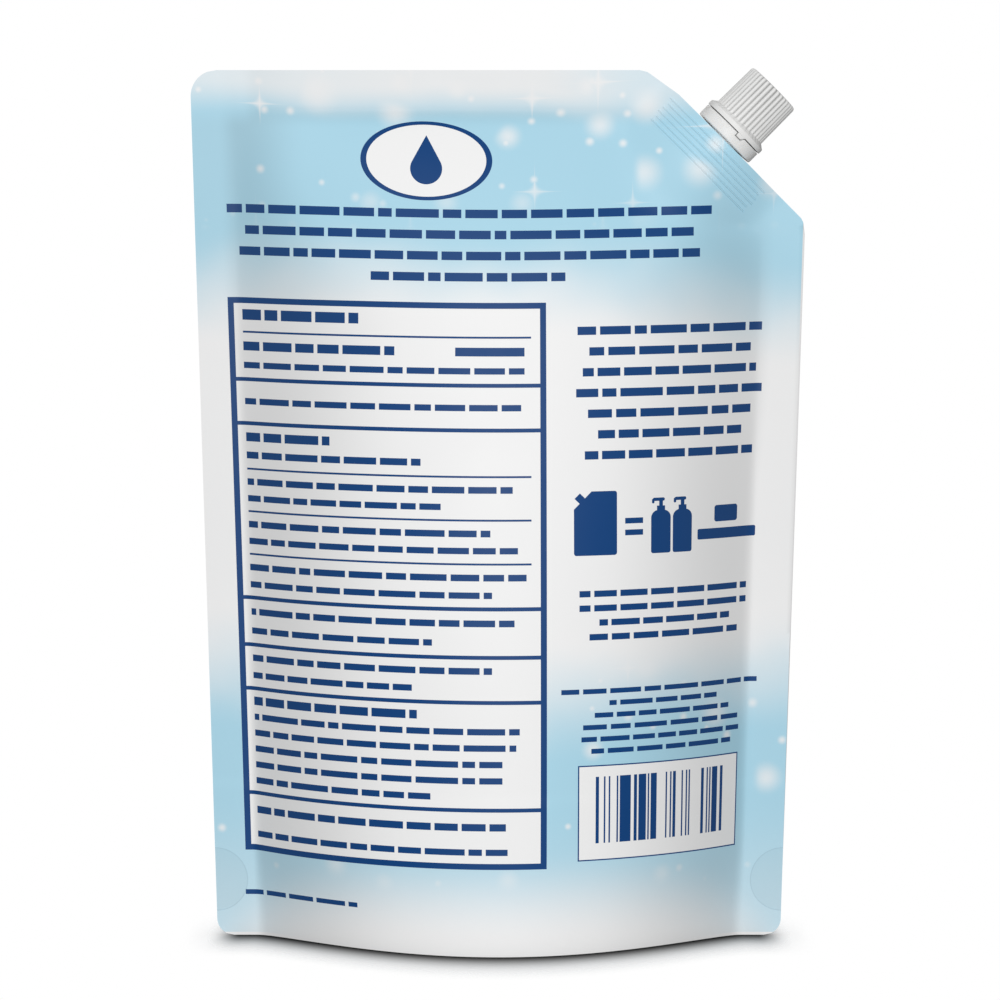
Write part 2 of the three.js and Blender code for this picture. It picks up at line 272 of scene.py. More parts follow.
class Field:
    """A number in a node tree: arithmetic on it adds Math nodes, | joins masks and & crosses them."""

    def __init__(self, graph, socket):
        self.graph = graph
        self.socket = socket

    def __add__(self, other):
        return self.graph.math("ADD", self, other)

    def __sub__(self, other):
        return self.graph.math("SUBTRACT", self, other)

    def __rsub__(self, other):
        return self.graph.math("SUBTRACT", other, self)

    def __mul__(self, other):
        return self.graph.math("MULTIPLY", self, other)

    def __truediv__(self, other):
        return self.graph.math("DIVIDE", self, other)

    def __pow__(self, other):
        return self.graph.math("POWER", self, other)

    def __abs__(self):
        return self.graph.math("ABSOLUTE", self)

    def __lt__(self, other):
        return self.graph.math("LESS_THAN", self, other)

    def __gt__(self, other):
        return self.graph.math("GREATER_THAN", self, other)

    def __or__(self, other):
        return self.graph.math("MAXIMUM", self, other)

    __radd__ = __add__
    __rmul__ = __mul__
    __and__ = __mul__


class Graph:
    """A shader or geometry node tree that is written as expressions."""

    def __init__(self, tree):
        self.tree = tree

    def feed(self, socket, value):
        if isinstance(value, Field):
            value = value.socket
        if isinstance(value, bpy.types.NodeSocket):
            self.tree.links.new(value, socket)
        else:
            socket.default_value = value

    def node(self, kind, settings=None, values=None):
        """A node of that type, with its settings made first and then its sockets fed."""
        made = self.tree.nodes.new(kind)
        for name, value in (settings or {}).items():
            setattr(made, name, value)
        for name, value in (values or {}).items():
            self.feed(made.inputs[name], value)
        return made

    def field(self, socket):
        return Field(self, socket)

    def math(self, operation, *values):
        made = self.node("ShaderNodeMath", {"operation": operation}, dict(enumerate(values)))
        return self.field(made.outputs[0])

    def near(self, value, middle, reach):
        """1 where the value lies within reach of the middle."""
        return self.math("COMPARE", value, middle, reach)

    def box(self, u, v, left, right, bottom, top):
        across = self.near(u, (left + right) / 2, (right - left) / 2)
        return across & self.near(v, (bottom + top) / 2, (top - bottom) / 2)

    def plate(self, u, v, left, right, bottom, top, radius):
        """A box with round corners, or with square ones where the radius is 0."""
        if not radius:
            return self.box(u, v, left, right, bottom, top)
        across = abs(u - (left + right) / 2) - ((right - left) / 2 - radius)
        up = abs(v - (bottom + top) / 2) - ((top - bottom) / 2 - radius)
        return self.math("SQRT", (across | 0.0) ** 2 + (up | 0.0) ** 2) < radius

    @staticmethod
    def joined(masks):
        """All the masks as one."""
        whole, *others = masks
        for mask in others:
            whole = whole | mask
        return whole

    def lot(self, value):
        """A random number from 0 to 1 that goes with the value."""
        made = self.node("ShaderNodeTexWhiteNoise", {"noise_dimensions": "1D"}, {"W": value})
        return self.field(made.outputs["Value"])

    def smooth(self, value, low, high):
        """A soft step from 0 at low to 1 at high."""
        made = self.node(
            "ShaderNodeMapRange",
            {"interpolation_type": "SMOOTHSTEP"},
            {"Value": value, "From Min": low, "From Max": high},
        )
        return self.field(made.outputs["Result"])

    def mix(self, share, first, second):
        """One colour turning into another as the share goes from 0 to 1."""
        made = self.node("ShaderNodeMix", {"data_type": "RGBA"}, {0: share, 6: first, 7: second})
        return made.outputs[2]

    def split(self, vector):
        parts = self.node("ShaderNodeSeparateXYZ", values={"Vector": vector})
        return [self.field(parts.outputs[k]) for k in range(3)]

    def vector(self, x=0.0, y=0.0, z=0.0):
        made = self.node("ShaderNodeCombineXYZ", values={"X": x, "Y": y, "Z": z})
        return made.outputs[0]

    def noise(self, vector, scale, detail=2.0):
        made = self.node("ShaderNodeTexNoise", values={"Vector": vector, "Scale": scale, "Detail": detail})
        return self.field(made.outputs["Fac"])


def smoothstep(value, low, high):
    share = np.clip((value - low) / (high - low), 0, 1)
    return share * share * (3 - 2 * share)


def softened(rise, softness):
    """A rise whose start is rounded off, as film bends over a crease."""
    return np.hypot(rise, softness) - softness


def bezier(handles, t):
    a, b, c, d = handles
    return (1 - t) ** 3 * a + 3 * t * (1 - t) ** 2 * b + 3 * t * t * (1 - t) * c + t ** 3 * d


class PouchShape:
    """The filled pouch's outline and thickness by the rule of its CAD solid, and its film laid flat."""

    def __init__(self, sizes):
        self.sizes = sizes
        self.seal_top = sizes.height - sizes.seal_width
        self.chamfer_sum = sizes.top_width / 2 - sizes.chamfer_leg + sizes.height
        self.chamfer_inner_sum = self.chamfer_sum - sizes.seal_width * math.sqrt(2)
        t = np.linspace(1, 0, PROFILE_STEPS)
        half_base = sizes.base_depth / 2
        depths = (0, SHOULDER_DEPTH, half_base + BELLY_SWELL, half_base - 2 * sizes.film_ply)
        heights = (self.seal_top, self.seal_top - SHOULDER_DROP, BELLY_HEIGHT, 0)
        self.profile_depth = bezier(depths, t)
        self.profile_height = bezier(heights, t)
        self.lay_flat()

    def half_width(self, z):
        share = z / self.sizes.height
        return (self.sizes.base_width + (self.sizes.top_width - self.sizes.base_width) * share) / 2

    @staticmethod
    def corner_inset(radius, past_tangent):
        rise = np.clip(past_tangent, 0, radius)
        return radius - np.sqrt(radius * radius - rise * rise)

    def left_edge(self, z):
        top = self.corner_inset(TOP_CORNER_RADIUS, z - (self.sizes.height - TOP_CORNER_RADIUS))
        return top + self.corner_inset(BASE_CORNER_RADIUS, BASE_CORNER_RADIUS - z) - self.half_width(z)

    def right_edge(self, z):
        side = self.half_width(z) - self.corner_inset(BASE_CORNER_RADIUS, BASE_CORNER_RADIUS - z)
        boat_tip = (BOAT_LENGTH / 2 + TRIM_CLEARANCE) * math.sqrt(0.5)
        trim_x, trim_z = SPOUT_PLACE.x - boat_tip, SPOUT_PLACE.z + boat_tip
        if z < trim_z:
            return min(side, self.chamfer_sum - z)
        corner_x = self.chamfer_sum - self.sizes.height - CHAMFER_TRIM
        slope = math.atan2(self.sizes.height - trim_z, trim_x - corner_x)
        arc_rise = z - (self.sizes.height - CHAMFER_CORNER_RADIUS)
        if arc_rise > CHAMFER_CORNER_RADIUS * math.cos(slope):
            arc_x = corner_x - CHAMFER_CORNER_RADIUS * math.tan(slope / 2)
            return arc_x + math.sqrt(max(0, CHAMFER_CORNER_RADIUS ** 2 - arc_rise ** 2))
        return trim_x - (z - trim_z) / math.tan(slope)

    def inner_left(self, z):
        return self.sizes.seal_width - self.half_width(z)

    def inner_right(self, z):
        return min(self.half_width(z) - self.sizes.seal_width, self.chamfer_inner_sum - z)

    def half_depth(self, z):
        return np.where(z < self.seal_top, np.interp(z, self.profile_height, self.profile_depth), 0)

    def section_power(self, z):
        return BASE_SECTION_POWER + (1 - BASE_SECTION_POWER) * smoothstep(z, 0, BASE_BLEND_HEIGHT)

    def channel(self, x, z):
        """Film over the weld boat, and the channel that runs from it into the filled body."""
        inward = (self.chamfer_sum - x - z) * math.sqrt(0.5)
        along = (x - SPOUT_PLACE.x - (z - SPOUT_PLACE.z)) * math.sqrt(0.5)
        fade = 1 - smoothstep(inward, BOAT_DEPTH + CLEARANCE, BOAT_DEPTH + CHANNEL_RUN)
        across = np.clip(1 - (along / (BOAT_LENGTH / 2 + FLARE_RUN)) ** 2, 0, None) ** FLARE_POWER
        boat_half = bpy.context.scene.refill_closure.bore_diameter / 2 + BOAT_WALL
        return (boat_half + CLEARANCE + WELD_SKIN) * fade * across

    def half_thickness(self, x, z):
        middle = (self.inner_left(z) + self.inner_right(z)) / 2
        reach = (self.inner_right(z) - self.inner_left(z)) / 2
        bow = np.clip(1 - ((x - middle) / reach) ** 2, 0, None) ** self.section_power(z)
        half_base = self.sizes.base_depth / 2
        belly = softened(self.half_depth(z) * bow, CREASE_SOFTNESS)
        belly = belly * half_base / softened(half_base, CREASE_SOFTNESS)
        bulge = np.cbrt(belly ** 3 + softened(self.channel(x, z), CHANNEL_SOFTNESS) ** 3)
        plies = 2 - smoothstep(z, GUSSET_HEIGHT, GUSSET_HEIGHT + GUSSET_FADE)
        return plies * self.sizes.film_ply + bulge

    def lay_flat(self):
        """Distances over the film: across from its middle, scaled to the top width, and up from its base."""
        self.flat_z = np.linspace(0, self.sizes.height, FLAT_ROWS)
        self.flat_share = np.linspace(-1, 1, FLAT_COLUMNS)
        z = self.flat_z[:, None]
        half = self.half_width(z)
        x = half * self.flat_share
        bow = np.clip(1 - (x / (half - self.sizes.seal_width)) ** 2, 0, None)
        y = self.half_depth(z) * bow ** self.section_power(z)
        steps = np.hypot(np.diff(x, axis=1), np.diff(y, axis=1))
        reach = np.concatenate((np.zeros((len(z), 1)), np.cumsum(steps, axis=1)), axis=1)
        self.flat_u = (2 * reach / reach[:, -1:] - 1) * self.sizes.top_width / 2
        rises = np.hypot(np.diff(z, axis=0), np.diff(y, axis=0))
        self.flat_v = np.concatenate((np.zeros((1, x.shape[1])), np.cumsum(rises, axis=0)))

    def flat_place(self, x, z):
        """The (across, up) place on the flat film of a point of the filled pouch."""
        row = np.clip(z / self.sizes.height, 0, 1) * (len(self.flat_z) - 1)
        column = (np.clip(x / self.half_width(z), -1, 1) + 1) / 2 * (len(self.flat_share) - 1)
        i = np.minimum(row.astype(int), len(self.flat_z) - 2)
        j = np.minimum(column.astype(int), len(self.flat_share) - 2)
        up, over = row - i, column - j

        def blend(table):
            low = table[i, j] * (1 - over) + table[i, j + 1] * over
            high = table[i + 1, j] * (1 - over) + table[i + 1, j + 1] * over
            return low * (1 - up) + high * up

        return blend(self.flat_u), blend(self.flat_v)


class ClosureShape:
    """Radii about the spout's axis and heights along it from the film's cut edge, as in the CAD solids."""

    def __init__(self, sizes):
        self.bore = sizes.bore_diameter / 2
        self.boat_half = self.bore + BOAT_WALL
        self.neck = self.bore + NECK_WALL
        self.cap_bore = self.neck + THREAD_ROOM
        self.cap = self.cap_bore + CAP_WALL
        self.cap_flange = self.cap + CAP_FLANGE_REACH
        self.band = self.cap_flange - BAND_SETBACK
        self.band_bore = self.band - BAND_WALL
        self.lip = self.neck + BAND_LIP_GAP
        self.bead = self.lip + BEAD_HOOK
        self.flange = self.band_bore - SEAT_GAP
        self.plug = self.bore - CLEARANCE
        self.flange_base = CLEARANCE
        self.flange_top = self.flange_base + SPOUT_FLANGE_HEIGHT
        self.band_base = SEAT_GAP
        self.lip_base = self.flange_top + SEAT_GAP
        self.lip_top = self.lip_base + BAND_LIP_HEIGHT
        self.bead_base = self.lip_top + SEAT_GAP
        self.bead_top = self.bead_base + BEAD_HEIGHT
        self.band_top = self.bead_top + CLEARANCE
        self.cap_base = self.band_top + CLEARANCE
        self.cap_top = self.cap_base + sizes.cap_height
        self.ceiling = self.cap_top - CAP_ROOF
        self.neck_top = self.ceiling - CLEARANCE

    def tab_drop(self, angle, growth, root):
        """How far a tab, or its notch grown by a clearance, reaches below the cap's base at an angle."""
        middle = (self.band_bore + self.band) / 2
        pitch = 2 * math.pi / TAB_COUNT
        turn = (angle - TAB_TURN + pitch / 2) % pitch - pitch / 2
        along = turn * middle
        half = TAB_TIP / 2 + growth
        drop = TAB_DEPTH + growth
        if along < -half:
            return 0.0
        ramp = max(0.0, along - half) / TAB_RAMP * (drop + root)
        return max(0.0, drop - ramp)

    def turn_angles(self, count):
        """Even steps round the axis, with extra ones at the corners of the tabs and their notches."""
        middle = (self.band_bore + self.band) / 2
        angles = list(np.arange(count) * 2 * math.pi / count)
        for k in range(TAB_COUNT):
            for growth in (0, CLEARANCE):
                half = TAB_TIP / 2 + growth
                for along in (-half, half, half + TAB_RAMP):
                    angle = TAB_TURN + along / middle + 2 * math.pi * k / TAB_COUNT
                    for corner in (angle - CORNER_SLIVER, angle + CORNER_SLIVER):
                        angles.append(corner % (2 * math.pi))
        return np.array(sorted(angles))


def new_object(name, mesh):
    made = bpy.data.objects.new(name, mesh)
    bpy.context.scene.collection.objects.link(made)
    return made


def new_mesh(name, points, faces):
    """A mesh with its doubles merged, no flat slivers and its faces pointing out."""
    mesh = bpy.data.meshes.new(name)
    mesh.from_pydata([tuple(p) for p in points], [], [tuple(f) for f in faces])
    work = bmesh.new()
    work.from_mesh(mesh)
    bmesh.ops.remove_doubles(work, verts=work.verts, dist=MERGE)
    bmesh.ops.dissolve_degenerate(work, edges=work.edges, dist=MERGE)
    bmesh.ops.recalc_face_normals(work, faces=work.faces)
    work.to_mesh(mesh)
    work.free()
    return mesh


def shade(mesh, angle):
    """Smooth shading with edges kept crisp where faces meet at more than the angle."""
    mesh.polygons.foreach_set("use_smooth", np.ones(len(mesh.polygons), bool))
    mesh.set_sharp_from_angle(angle=angle)


def evaluated_mesh(piece):
    """The piece's mesh with its modifiers worked in, which are then removed."""
    bpy.context.view_layer.update()
    graph = bpy.context.evaluated_depsgraph_get()
    mesh = bpy.data.meshes.new_from_object(
        piece.evaluated_get(graph), preserve_all_data_layers=True, depsgraph=graph
    )
    piece.modifiers.clear()
    return mesh


def work_tree(piece, tree, values):
    """Runs a geometry tree on the piece and keeps its result as a plain mesh."""
    modifier = piece.modifiers.new(tree.name, "NODES")
    modifier.node_group = tree
    sockets = {item.name: item.identifier for item in tree.interface.items_tree if item.in_out == "INPUT"}
    for name, value in values.items():
        modifier[sockets[name]] = value
    piece.data = evaluated_mesh(piece)


def geometry_tree(name, inputs):
    """An empty geometry tree with named inputs, given as its graph and its input fields."""
    tree = bpy.data.node_groups.new(name, "GeometryNodeTree")
    tree.interface.new_socket("Geometry", in_out="INPUT", socket_type="NodeSocketGeometry")
    for label, kind in inputs.items():
        tree.interface.new_socket(label, in_out="INPUT", socket_type="NodeSocket" + kind)
    tree.interface.new_socket("Geometry", in_out="OUTPUT", socket_type="NodeSocketGeometry")
    graph = Graph(tree)
    entry = graph.node("NodeGroupInput")
    given = {label: graph.field(entry.outputs[label]) for label in ["Geometry", *inputs]}
    return graph, given


def end_tree(graph, geometry, material):
    """Ends a geometry tree in Realize Instances and Set Material."""
    solid = graph.node("GeometryNodeRealizeInstances", values={"Geometry": geometry})
    finished = graph.node(
        "GeometryNodeSetMaterial", values={"Geometry": solid.outputs[0], "Material": material}
    )
    graph.node("NodeGroupOutput", values={"Geometry": finished.outputs[0]})


def polar(graph):
    """Each point's place as x, y, height, distance from the z axis and angle round it."""
    x, y, z = graph.split(graph.node("GeometryNodeInputPosition").outputs[0])
    return x, y, z, graph.math("SQRT", x * x + y * y), graph.math("ARCTAN2", y, x)


def push_out(graph, geometry, x, y, radius, reach):
    """Moves each point away from the z axis by the reach."""
    share = reach / radius
    move = graph.vector(x * share, y * share)
    moved = graph.node("GeometryNodeSetPosition", values={"Geometry": geometry, "Offset": move})
    return moved.outputs[0]


def grip_tree():
    """Cuts rounded grip ribs with narrow valleys into a turned cap."""
    graph, given = geometry_tree(
        "grip_ribs",
        {
            "Rib Count": "Float",
            "Rib Depth": "Float",
            "Grip Radius": "Float",
            "Grip Base": "Float",
            "Run In": "Float",
            "Material": "Material",
        },
    )
    x, y, z, radius, angle = polar(graph)
    rib = abs(graph.math("COSINE", angle * given["Rib Count"] * 0.5)) ** RIB_ROUNDNESS
    rise = graph.smooth(z, given["Grip Base"], given["Grip Base"] + given["Run In"])
    valley = (1 - rib) * rise * (radius > given["Grip Radius"])
    # The valley share is stored for the cap's material, which paints shade into the valleys with it
    marked = graph.node(
        "GeometryNodeStoreNamedAttribute",
        values={"Geometry": given["Geometry"], "Name": "valley", "Value": valley},
    )
    dip = given["Rib Depth"] * valley
    end_tree(graph, push_out(graph, marked.outputs[0], x, y, radius, 0 - dip), given["Material"])
    return graph.tree


def thread_tree():
    """Raises a right-handed screw thread from the turned wall of one radius."""
    graph, given = geometry_tree(
        "screw_thread",
        {
            "Lead": "Float",
            "Height": "Float",
            "Root Width": "Float",
            "Crest Width": "Float",
            "Start": "Float",
            "End": "Float",
            "Run Out": "Float",
            "Turn": "Float",
            "Wall Radius": "Float",
            "Material": "Material",
        },
    )
    x, y, z, radius, angle = polar(graph)
    turns = z / given["Lead"] - angle / (2 * math.pi) - given["Turn"]
    aside = (turns - graph.math("ROUND", turns)) * given["Lead"]
    along = z - aside
    flank = (given["Root Width"] - given["Crest Width"]) / 2
    ridge = graph.math("MINIMUM", (given["Root Width"] / 2 - abs(aside)) / flank, 1.0) | 0.0
    begin = graph.smooth(along, given["Start"], given["Start"] + given["Run Out"])
    end = 1 - graph.smooth(along, given["End"] - given["Run Out"], given["End"])
    on_wall = graph.near(radius, given["Wall Radius"], WALL_MATCH)
    height = given["Height"] * ridge * begin * end * on_wall
    end_tree(graph, push_out(graph, given["Geometry"], x, y, radius, height), given["Material"])
    return graph.tree


def ridge_tree():
    """Lays weld ridges over both faces of the film, side by side along the cut corner."""
    graph, given = geometry_tree(
        "weld_ridges",
        {
            "Film": "Object",
            "Count": "Int",
            "First": "Float",
            "Pitch": "Float",
            "Length": "Float",
            "Stagger": "Float",
            "Ridge Radius": "Float",
            "Reach": "Float",
            "Place": "Vector",
            "Lean": "Vector",
            "Material": "Material",
        },
    )
    film = graph.node("GeometryNodeObjectInfo", values={"Object": given["Film"]}).outputs["Geometry"]
    start, end = (graph.vector(given["Length"] / half) for half in (-2, 2))
    line = graph.node("GeometryNodeCurvePrimitiveLine", values={"Start": start, "End": end})
    line = graph.node("GeometryNodeResampleCurve", values={"Curve": line.outputs[0], "Count": RIDGE_STEPS})
    index = graph.field(graph.node("GeometryNodeInputIndex").outputs[0])
    share = graph.field(graph.node("GeometryNodeSplineParameter").outputs["Factor"])
    ends = graph.smooth(share, 0.0, RIDGE_TAPER) * (1 - graph.smooth(share, 1 - RIDGE_TAPER, 1.0))
    section = graph.node(
        "GeometryNodeCurvePrimitiveCircle",
        values={"Resolution": RIDGE_SIDES, "Radius": given["Ridge Radius"]},
    )
    both = graph.node("GeometryNodeJoinGeometry")
    for side in (-1, 1):
        first = graph.vector(y=given["Reach"] * side, z=given["First"] * -1)
        step = graph.vector(z=given["Pitch"] * -1)
        seats = graph.node(
            "GeometryNodeMeshLine",
            values={"Count": given["Count"], "Start Location": first, "Offset": step},
        )
        stretch = 1 - given["Stagger"] * graph.math("MODULO", index * 2, 3)
        scale = graph.vector(stretch, 1.0, 1.0)
        copies = graph.node(
            "GeometryNodeInstanceOnPoints",
            values={"Points": seats.outputs[0], "Instance": line.outputs[0], "Scale": scale},
        )
        lines = graph.node("GeometryNodeRealizeInstances", values={"Geometry": copies.outputs[0]})
        placed = graph.node(
            "GeometryNodeTransform",
            values={"Geometry": lines.outputs[0], "Translation": given["Place"], "Rotation": given["Lean"]},
        )
        hit = graph.node(
            "GeometryNodeRaycast",
            values={
                "Target Geometry": film,
                "Ray Direction": (0, -side, 0),
                "Ray Length": given["Reach"] * 2,
            },
        )
        draped = graph.node(
            "GeometryNodeSetPosition",
            values={
                "Geometry": placed.outputs[0],
                "Selection": hit.outputs["Is Hit"],
                "Position": hit.outputs["Hit Position"],
            },
        )
        tapered = graph.node(
            "GeometryNodeSetCurveRadius", values={"Curve": draped.outputs[0], "Radius": ends}
        )
        ridge = graph.node(
            "GeometryNodeCurveToMesh",
            values={"Curve": tapered.outputs[0], "Profile Curve": section.outputs[0], "Fill Caps": True},
        )
        graph.feed(both.inputs[0], ridge.outputs[0])
    end_tree(graph, both.outputs[0], given["Material"])
    return graph.tree


def new_material(name):
    material = bpy.data.materials.new(name)
    material.use_nodes = True
    graph = Graph(material.node_tree)
    return material, graph, material.node_tree.nodes["Principled BSDF"]


# Print on the front film, in millimetres across from its middle line and up from its base
TABLE_LEFT, TABLE_RIGHT, TABLE_TOP = -83.45, 13.9, 195.1
TABLE_BORDER = 1.8
HEAVY_RULE = 1.0
COPY_LEFT = -79.0
# Each cell of the table: the height of the rule under it, the rule's weight, and its lines' ends and heights
TABLE_CELLS = (
    (184.7, 0.6, ((-42, 3.2),)),
    (170.4, 1.2, ((-31, 2.7), (7.5, 1.9))),
    (157.1, 1.2, ((6.5, 1.9),)),
    (143.3, 0.6, ((-51, 2.7), (-23, 2.1))),
    (130.4, 0.6, ((4, 2.0), (-17, 1.9))),
    (117.4, 0.6, ((-2.5, 2.0), (5.5, 1.9))),
    (104.1, 1.2, ((8, 2.0), (-2, 1.9))),
    (89.7, 1.2, ((4.5, 2.0), (-19.5, 1.9))),
    (76.3, 1.2, ((-2, 2.0), (-25.5, 1.9))),
    (44.2, 1.2, ((-24, 2.6), (6, 1.9), (5, 1.9), (1, 1.9), (1, 1.9), (-20, 1.9))),
    (26.4, 1.8, ((2, 2.2), (2.5, 1.9))),
)
CELL_MARGIN = 1.4
# Each centred paragraph: its middle, the height of its first line, line pitch, bar height and line lengths
PARAGRAPHS = (
    (-9.3, 221.8, 6.35, 2.6, (147, 136, 140, 58)),
    (52.2, 186.5, 6.18, 2.5, (58, 51, 55, 59, 52, 46, 54)),
    (51.0, 108.2, 4.3, 1.9, (55, 55, 43, 49)),
    (50.6, 79.1, 3.58, 1.5, (65, 36, 45, 52, 53, 47)),
    (-63.7, 13.4, 3.0, 1.5, (40,)),
)
WORD_LENGTH = 9.5
WORD_GAP = 0.06
GAP_FIRST, GAP_SPREAD = 0.22, 0.56
LINE_SHIFT = 7.37
BACK_OF_FILM = 400.0

# Plates as left, right, bottom, top and corner radius: of a bottle from the middle of its base, and bars
BOTTLE_PLATES = (
    (-3.15, 3.15, 0, 9, 0.7),
    (-3.15, 3.15, 5, 12.9, 2.3),
    (-1.3, 1.3, 12, 14.2, 0),
    (-0.6, 0.6, 14, 16.2, 0),
    (-2.6, 1.2, 15.6, 16.6, 0.45),
    (-2.9, -2.1, 14.9, 16.3, 0.35),
)
BOTTLE_MIDDLES = (48.7, 55.7)
SIGN_BASE = 119.6
BAR_PLATES = (
    (-12.9, 7.5, 179.1, 181.7, 0),
    (37.4, 43.0, 125.3, 127.0, 0),
    (37.4, 43.0, 128.8, 130.5, 0),
    (60.8, 81.2, 122.9, 126.1, 0.5),
    (66.5, 74.5, 128.0, 133.0, 0.8),
)
# The small pouch's plate and corner cut, and its spout along the cut edge and across it
SMALL_POUCH = (21.9, 34.9, SIGN_BASE, 138.7, 0.8)
SMALL_POUCH_CUT = 111.5
SMALL_SPOUT_ALONG, SMALL_SPOUT_HALF_WIDTH = 160.3, 1.6
SMALL_SPOUT_ACROSS, SMALL_SPOUT_HALF_HEIGHT = 111.9, 2.6

# Framed panel and its field of upright stripes, each as left, right, bottom and top
STRIPE_PANEL = (23.1, 77.1, 28.3, 57.0)
STRIPE_FIELD = (28.5, 71.5, 33.5, 53.5)
PANEL_LINE = 0.4
STRIPE_WIDTH = 0.5
STRIPE_BARE_SHARE = 0.46

# Oval badge, and its drop: a round end with a tapered tip
BADGE_PLACE = (-21.8, 238.0)
BADGE_FLATNESS = 2.6
BADGE_GROUND = 19.0
BADGE_RING, BADGE_RING_HALF = 18.9, 0.9
DROP_SINK = 2.6
DROP_RADIUS = 4.8
DROP_POINT, DROP_TAPER = 10.4, 0.52
DROP_TIP_MIDDLE, DROP_TIP_HALF = 6.31, 4.09

# Sky: heights where its blue sets in or ends, how they wander, and how they bend towards the film's sides
DRIFT, DRIFT_SCALE = 24, 0.022
SKY_BEND, SKY_TILT = 8, 0.04
UPPER_SKY, LOWER_SKY = (184, 220), (57, 93)
FOOT, FOOT_BEND = (4, 32), 26
FOOT_FADE, FOOT_FADE_SHARE = (5, 45), 0.3
HAZE, HAZE_STRENGTH = (249, 261), 0.96
HAZE_DRIFT, HAZE_BEND = 0.4, 0.3
HAZE_SPOUT_SIDE, HAZE_SPOUT_SHARE = (10, 45), 0.35

# Layers of glows: cells in a millimetre, reach, share of cells lit, strength and whether they are sparkles
GLOW_LAYERS = (
    (0.05, 8.5, 0.6, 0.8, False),
    (0.11, 2.2, 0.32, 0.9, False),
    (0.036, 5.5, 0.5, 1.0, True),
)
GLOW_STRENGTH = 0.9
GLOW_SCATTER = 0.9
GLOW_ROOM = 0.4
GLOW_SMALLEST = 0.45
SPARKLE_HALO, SPARKLE_POINTS = 0.22, 1.7
UPPER_GLOWS = (212, 238)
LOWER_GLOWS_FROM, LOWER_GLOWS_TO = (14, 34), (60, 105)

# Painted shade over the print: beside the belly and under the top seal, less at the cut corner; darker welded
# spots
PAINTED_SHADE_DARK = (0.05, 0.06, 0.07, 1.0)
SIDE_SHADE, SEAL_SHADE_LIFT, BROW_SHADE = 0.21, 0.14, 0.1
SIDE_START, SIDE_END = 0.28, 0.8
NARROWS, NARROW_START, NARROW_END = (185, 235), 0.34, 0.04
LOW_SIDE, LOW_SIDE_SHARE = (70, 130), 0.15
SEAL_START, SEAL_END = 0.83, 0.88
SPREADS, SPREAD_START, SPREAD_END = (110, 190), 0.02, 0.04
TOP_SEAL_SHARE, TOP_SEAL_RUN = 0.85, 2 * MM
BROW_DEEP, BROW_NEAR, BROW_ENDS = 6 * MM, 1 * MM, (0.78, 0.84)
BROW_FADE, BROW_FADE_SHARE = 1.5 * MM, 0.3
CUT_REACH, CUT_SHARE = (2 * MM, 26 * MM), 0.75
SPOT_DARK = (0.02, 0.05, 0.05, 1.0)
SPOT_TONE, SPOT_RIM_TONE, SPOT_RIM = 0.06, 0.08, 0.3 * MM
HEM_HEIGHT, HEM_WHITE = 0.9, 0.93

# Finishes: lowest roughness and its span, gloss, and clouds and grain to a metre, or to a millimetre of print
FILM_ROUGHNESS, FILM_ROUGHNESS_SPAN = 0.42, 0.12
FILM_CLOUDS, FILM_CLOUD_DETAIL = 0.06, 4.0
FILM_GLOSS = 0.16
CORE_ROUGHNESS, CORE_ROUGHNESS_SPAN = 0.45, 0.2
CORE_GRAIN = 900.0
CORE_DULL, CORE_BRIGHT = 0.8, 0.88
MOULD_ROUGHNESS, MOULD_ROUGHNESS_SPAN = 0.47, 0.1
MOULD_GLOSS = 0.3
MOULD_CLOUDS, MOULD_CLOUD_SHADE = 160.0, 0.93
SPOUT_GRAIN, BAND_GRAIN, CAP_GRAIN, GRAIN_DETAIL = 1400.0, 1500.0, 1600.0, 3.0
SOFT_GLOW, CAP_GLOW = 0.3, 0.05
SCATTER_RADIUS, SCATTER_SCALE = (1.0, 0.95, 0.9), 2 * MM
# Painted shade in the cap's grip valleys: its share and the dark grey it mixes towards
PAINTED_VALLEY_SHADE, PAINTED_VALLEY_GREY = 0.6, 0.05


def grey(level):
    return (level, level, level, 1.0)


def inner(edges, border):
    """The edges of a box drawn in by a border."""
    left, right, bottom, top = edges
    return left + border, right - border, bottom + border, top - border


def table_lines():
    """The table's lines of copy as (height, length, bar height)."""
    lines = []
    top = TABLE_TOP
    for rule, _, ends in TABLE_CELLS:
        pitch = (top - rule - 2 * CELL_MARGIN) / len(ends)
        for k, (end, bar) in enumerate(ends):
            lines.append((top - CELL_MARGIN - pitch * (k + 0.5), end - COPY_LEFT, bar))
        top = rule
    return lines


def word_bars(graph, u, v, centre, lines):
    """Lines of plain bars with gaps as between words; centre gives a line's middle from its length."""
    reach = words = 0.0
    for height, span, bar in lines:
        row = graph.near(v, height, bar / 2)
        density = max(1, round(span / WORD_LENGTH)) / span
        reach = graph.math("MULTIPLY_ADD", row, span, reach)
        words = graph.math("MULTIPLY_ADD", row, density, words)
    middle = centre(reach)
    along = (u - middle + reach / 2) * words
    word = graph.math("FLOOR", along)
    lot = graph.lot(word + reach * LINE_SHIFT)
    gap = graph.near(along - word, lot * GAP_SPREAD + GAP_FIRST, WORD_GAP)
    return graph.near(u, middle, reach / 2) & (1 - gap)


def copy_lines(graph, u, v):
    """The table's lines, which start at its left, and the centred paragraphs."""
    marks = word_bars(graph, u, v, lambda reach: reach / 2 + COPY_LEFT, table_lines())
    for middle, first, pitch, bar, lengths in PARAGRAPHS:
        lines = [(first - pitch * k, span, bar) for k, span in enumerate(lengths)]
        marks = marks | word_bars(graph, u, v, lambda reach: middle, lines)
    return marks


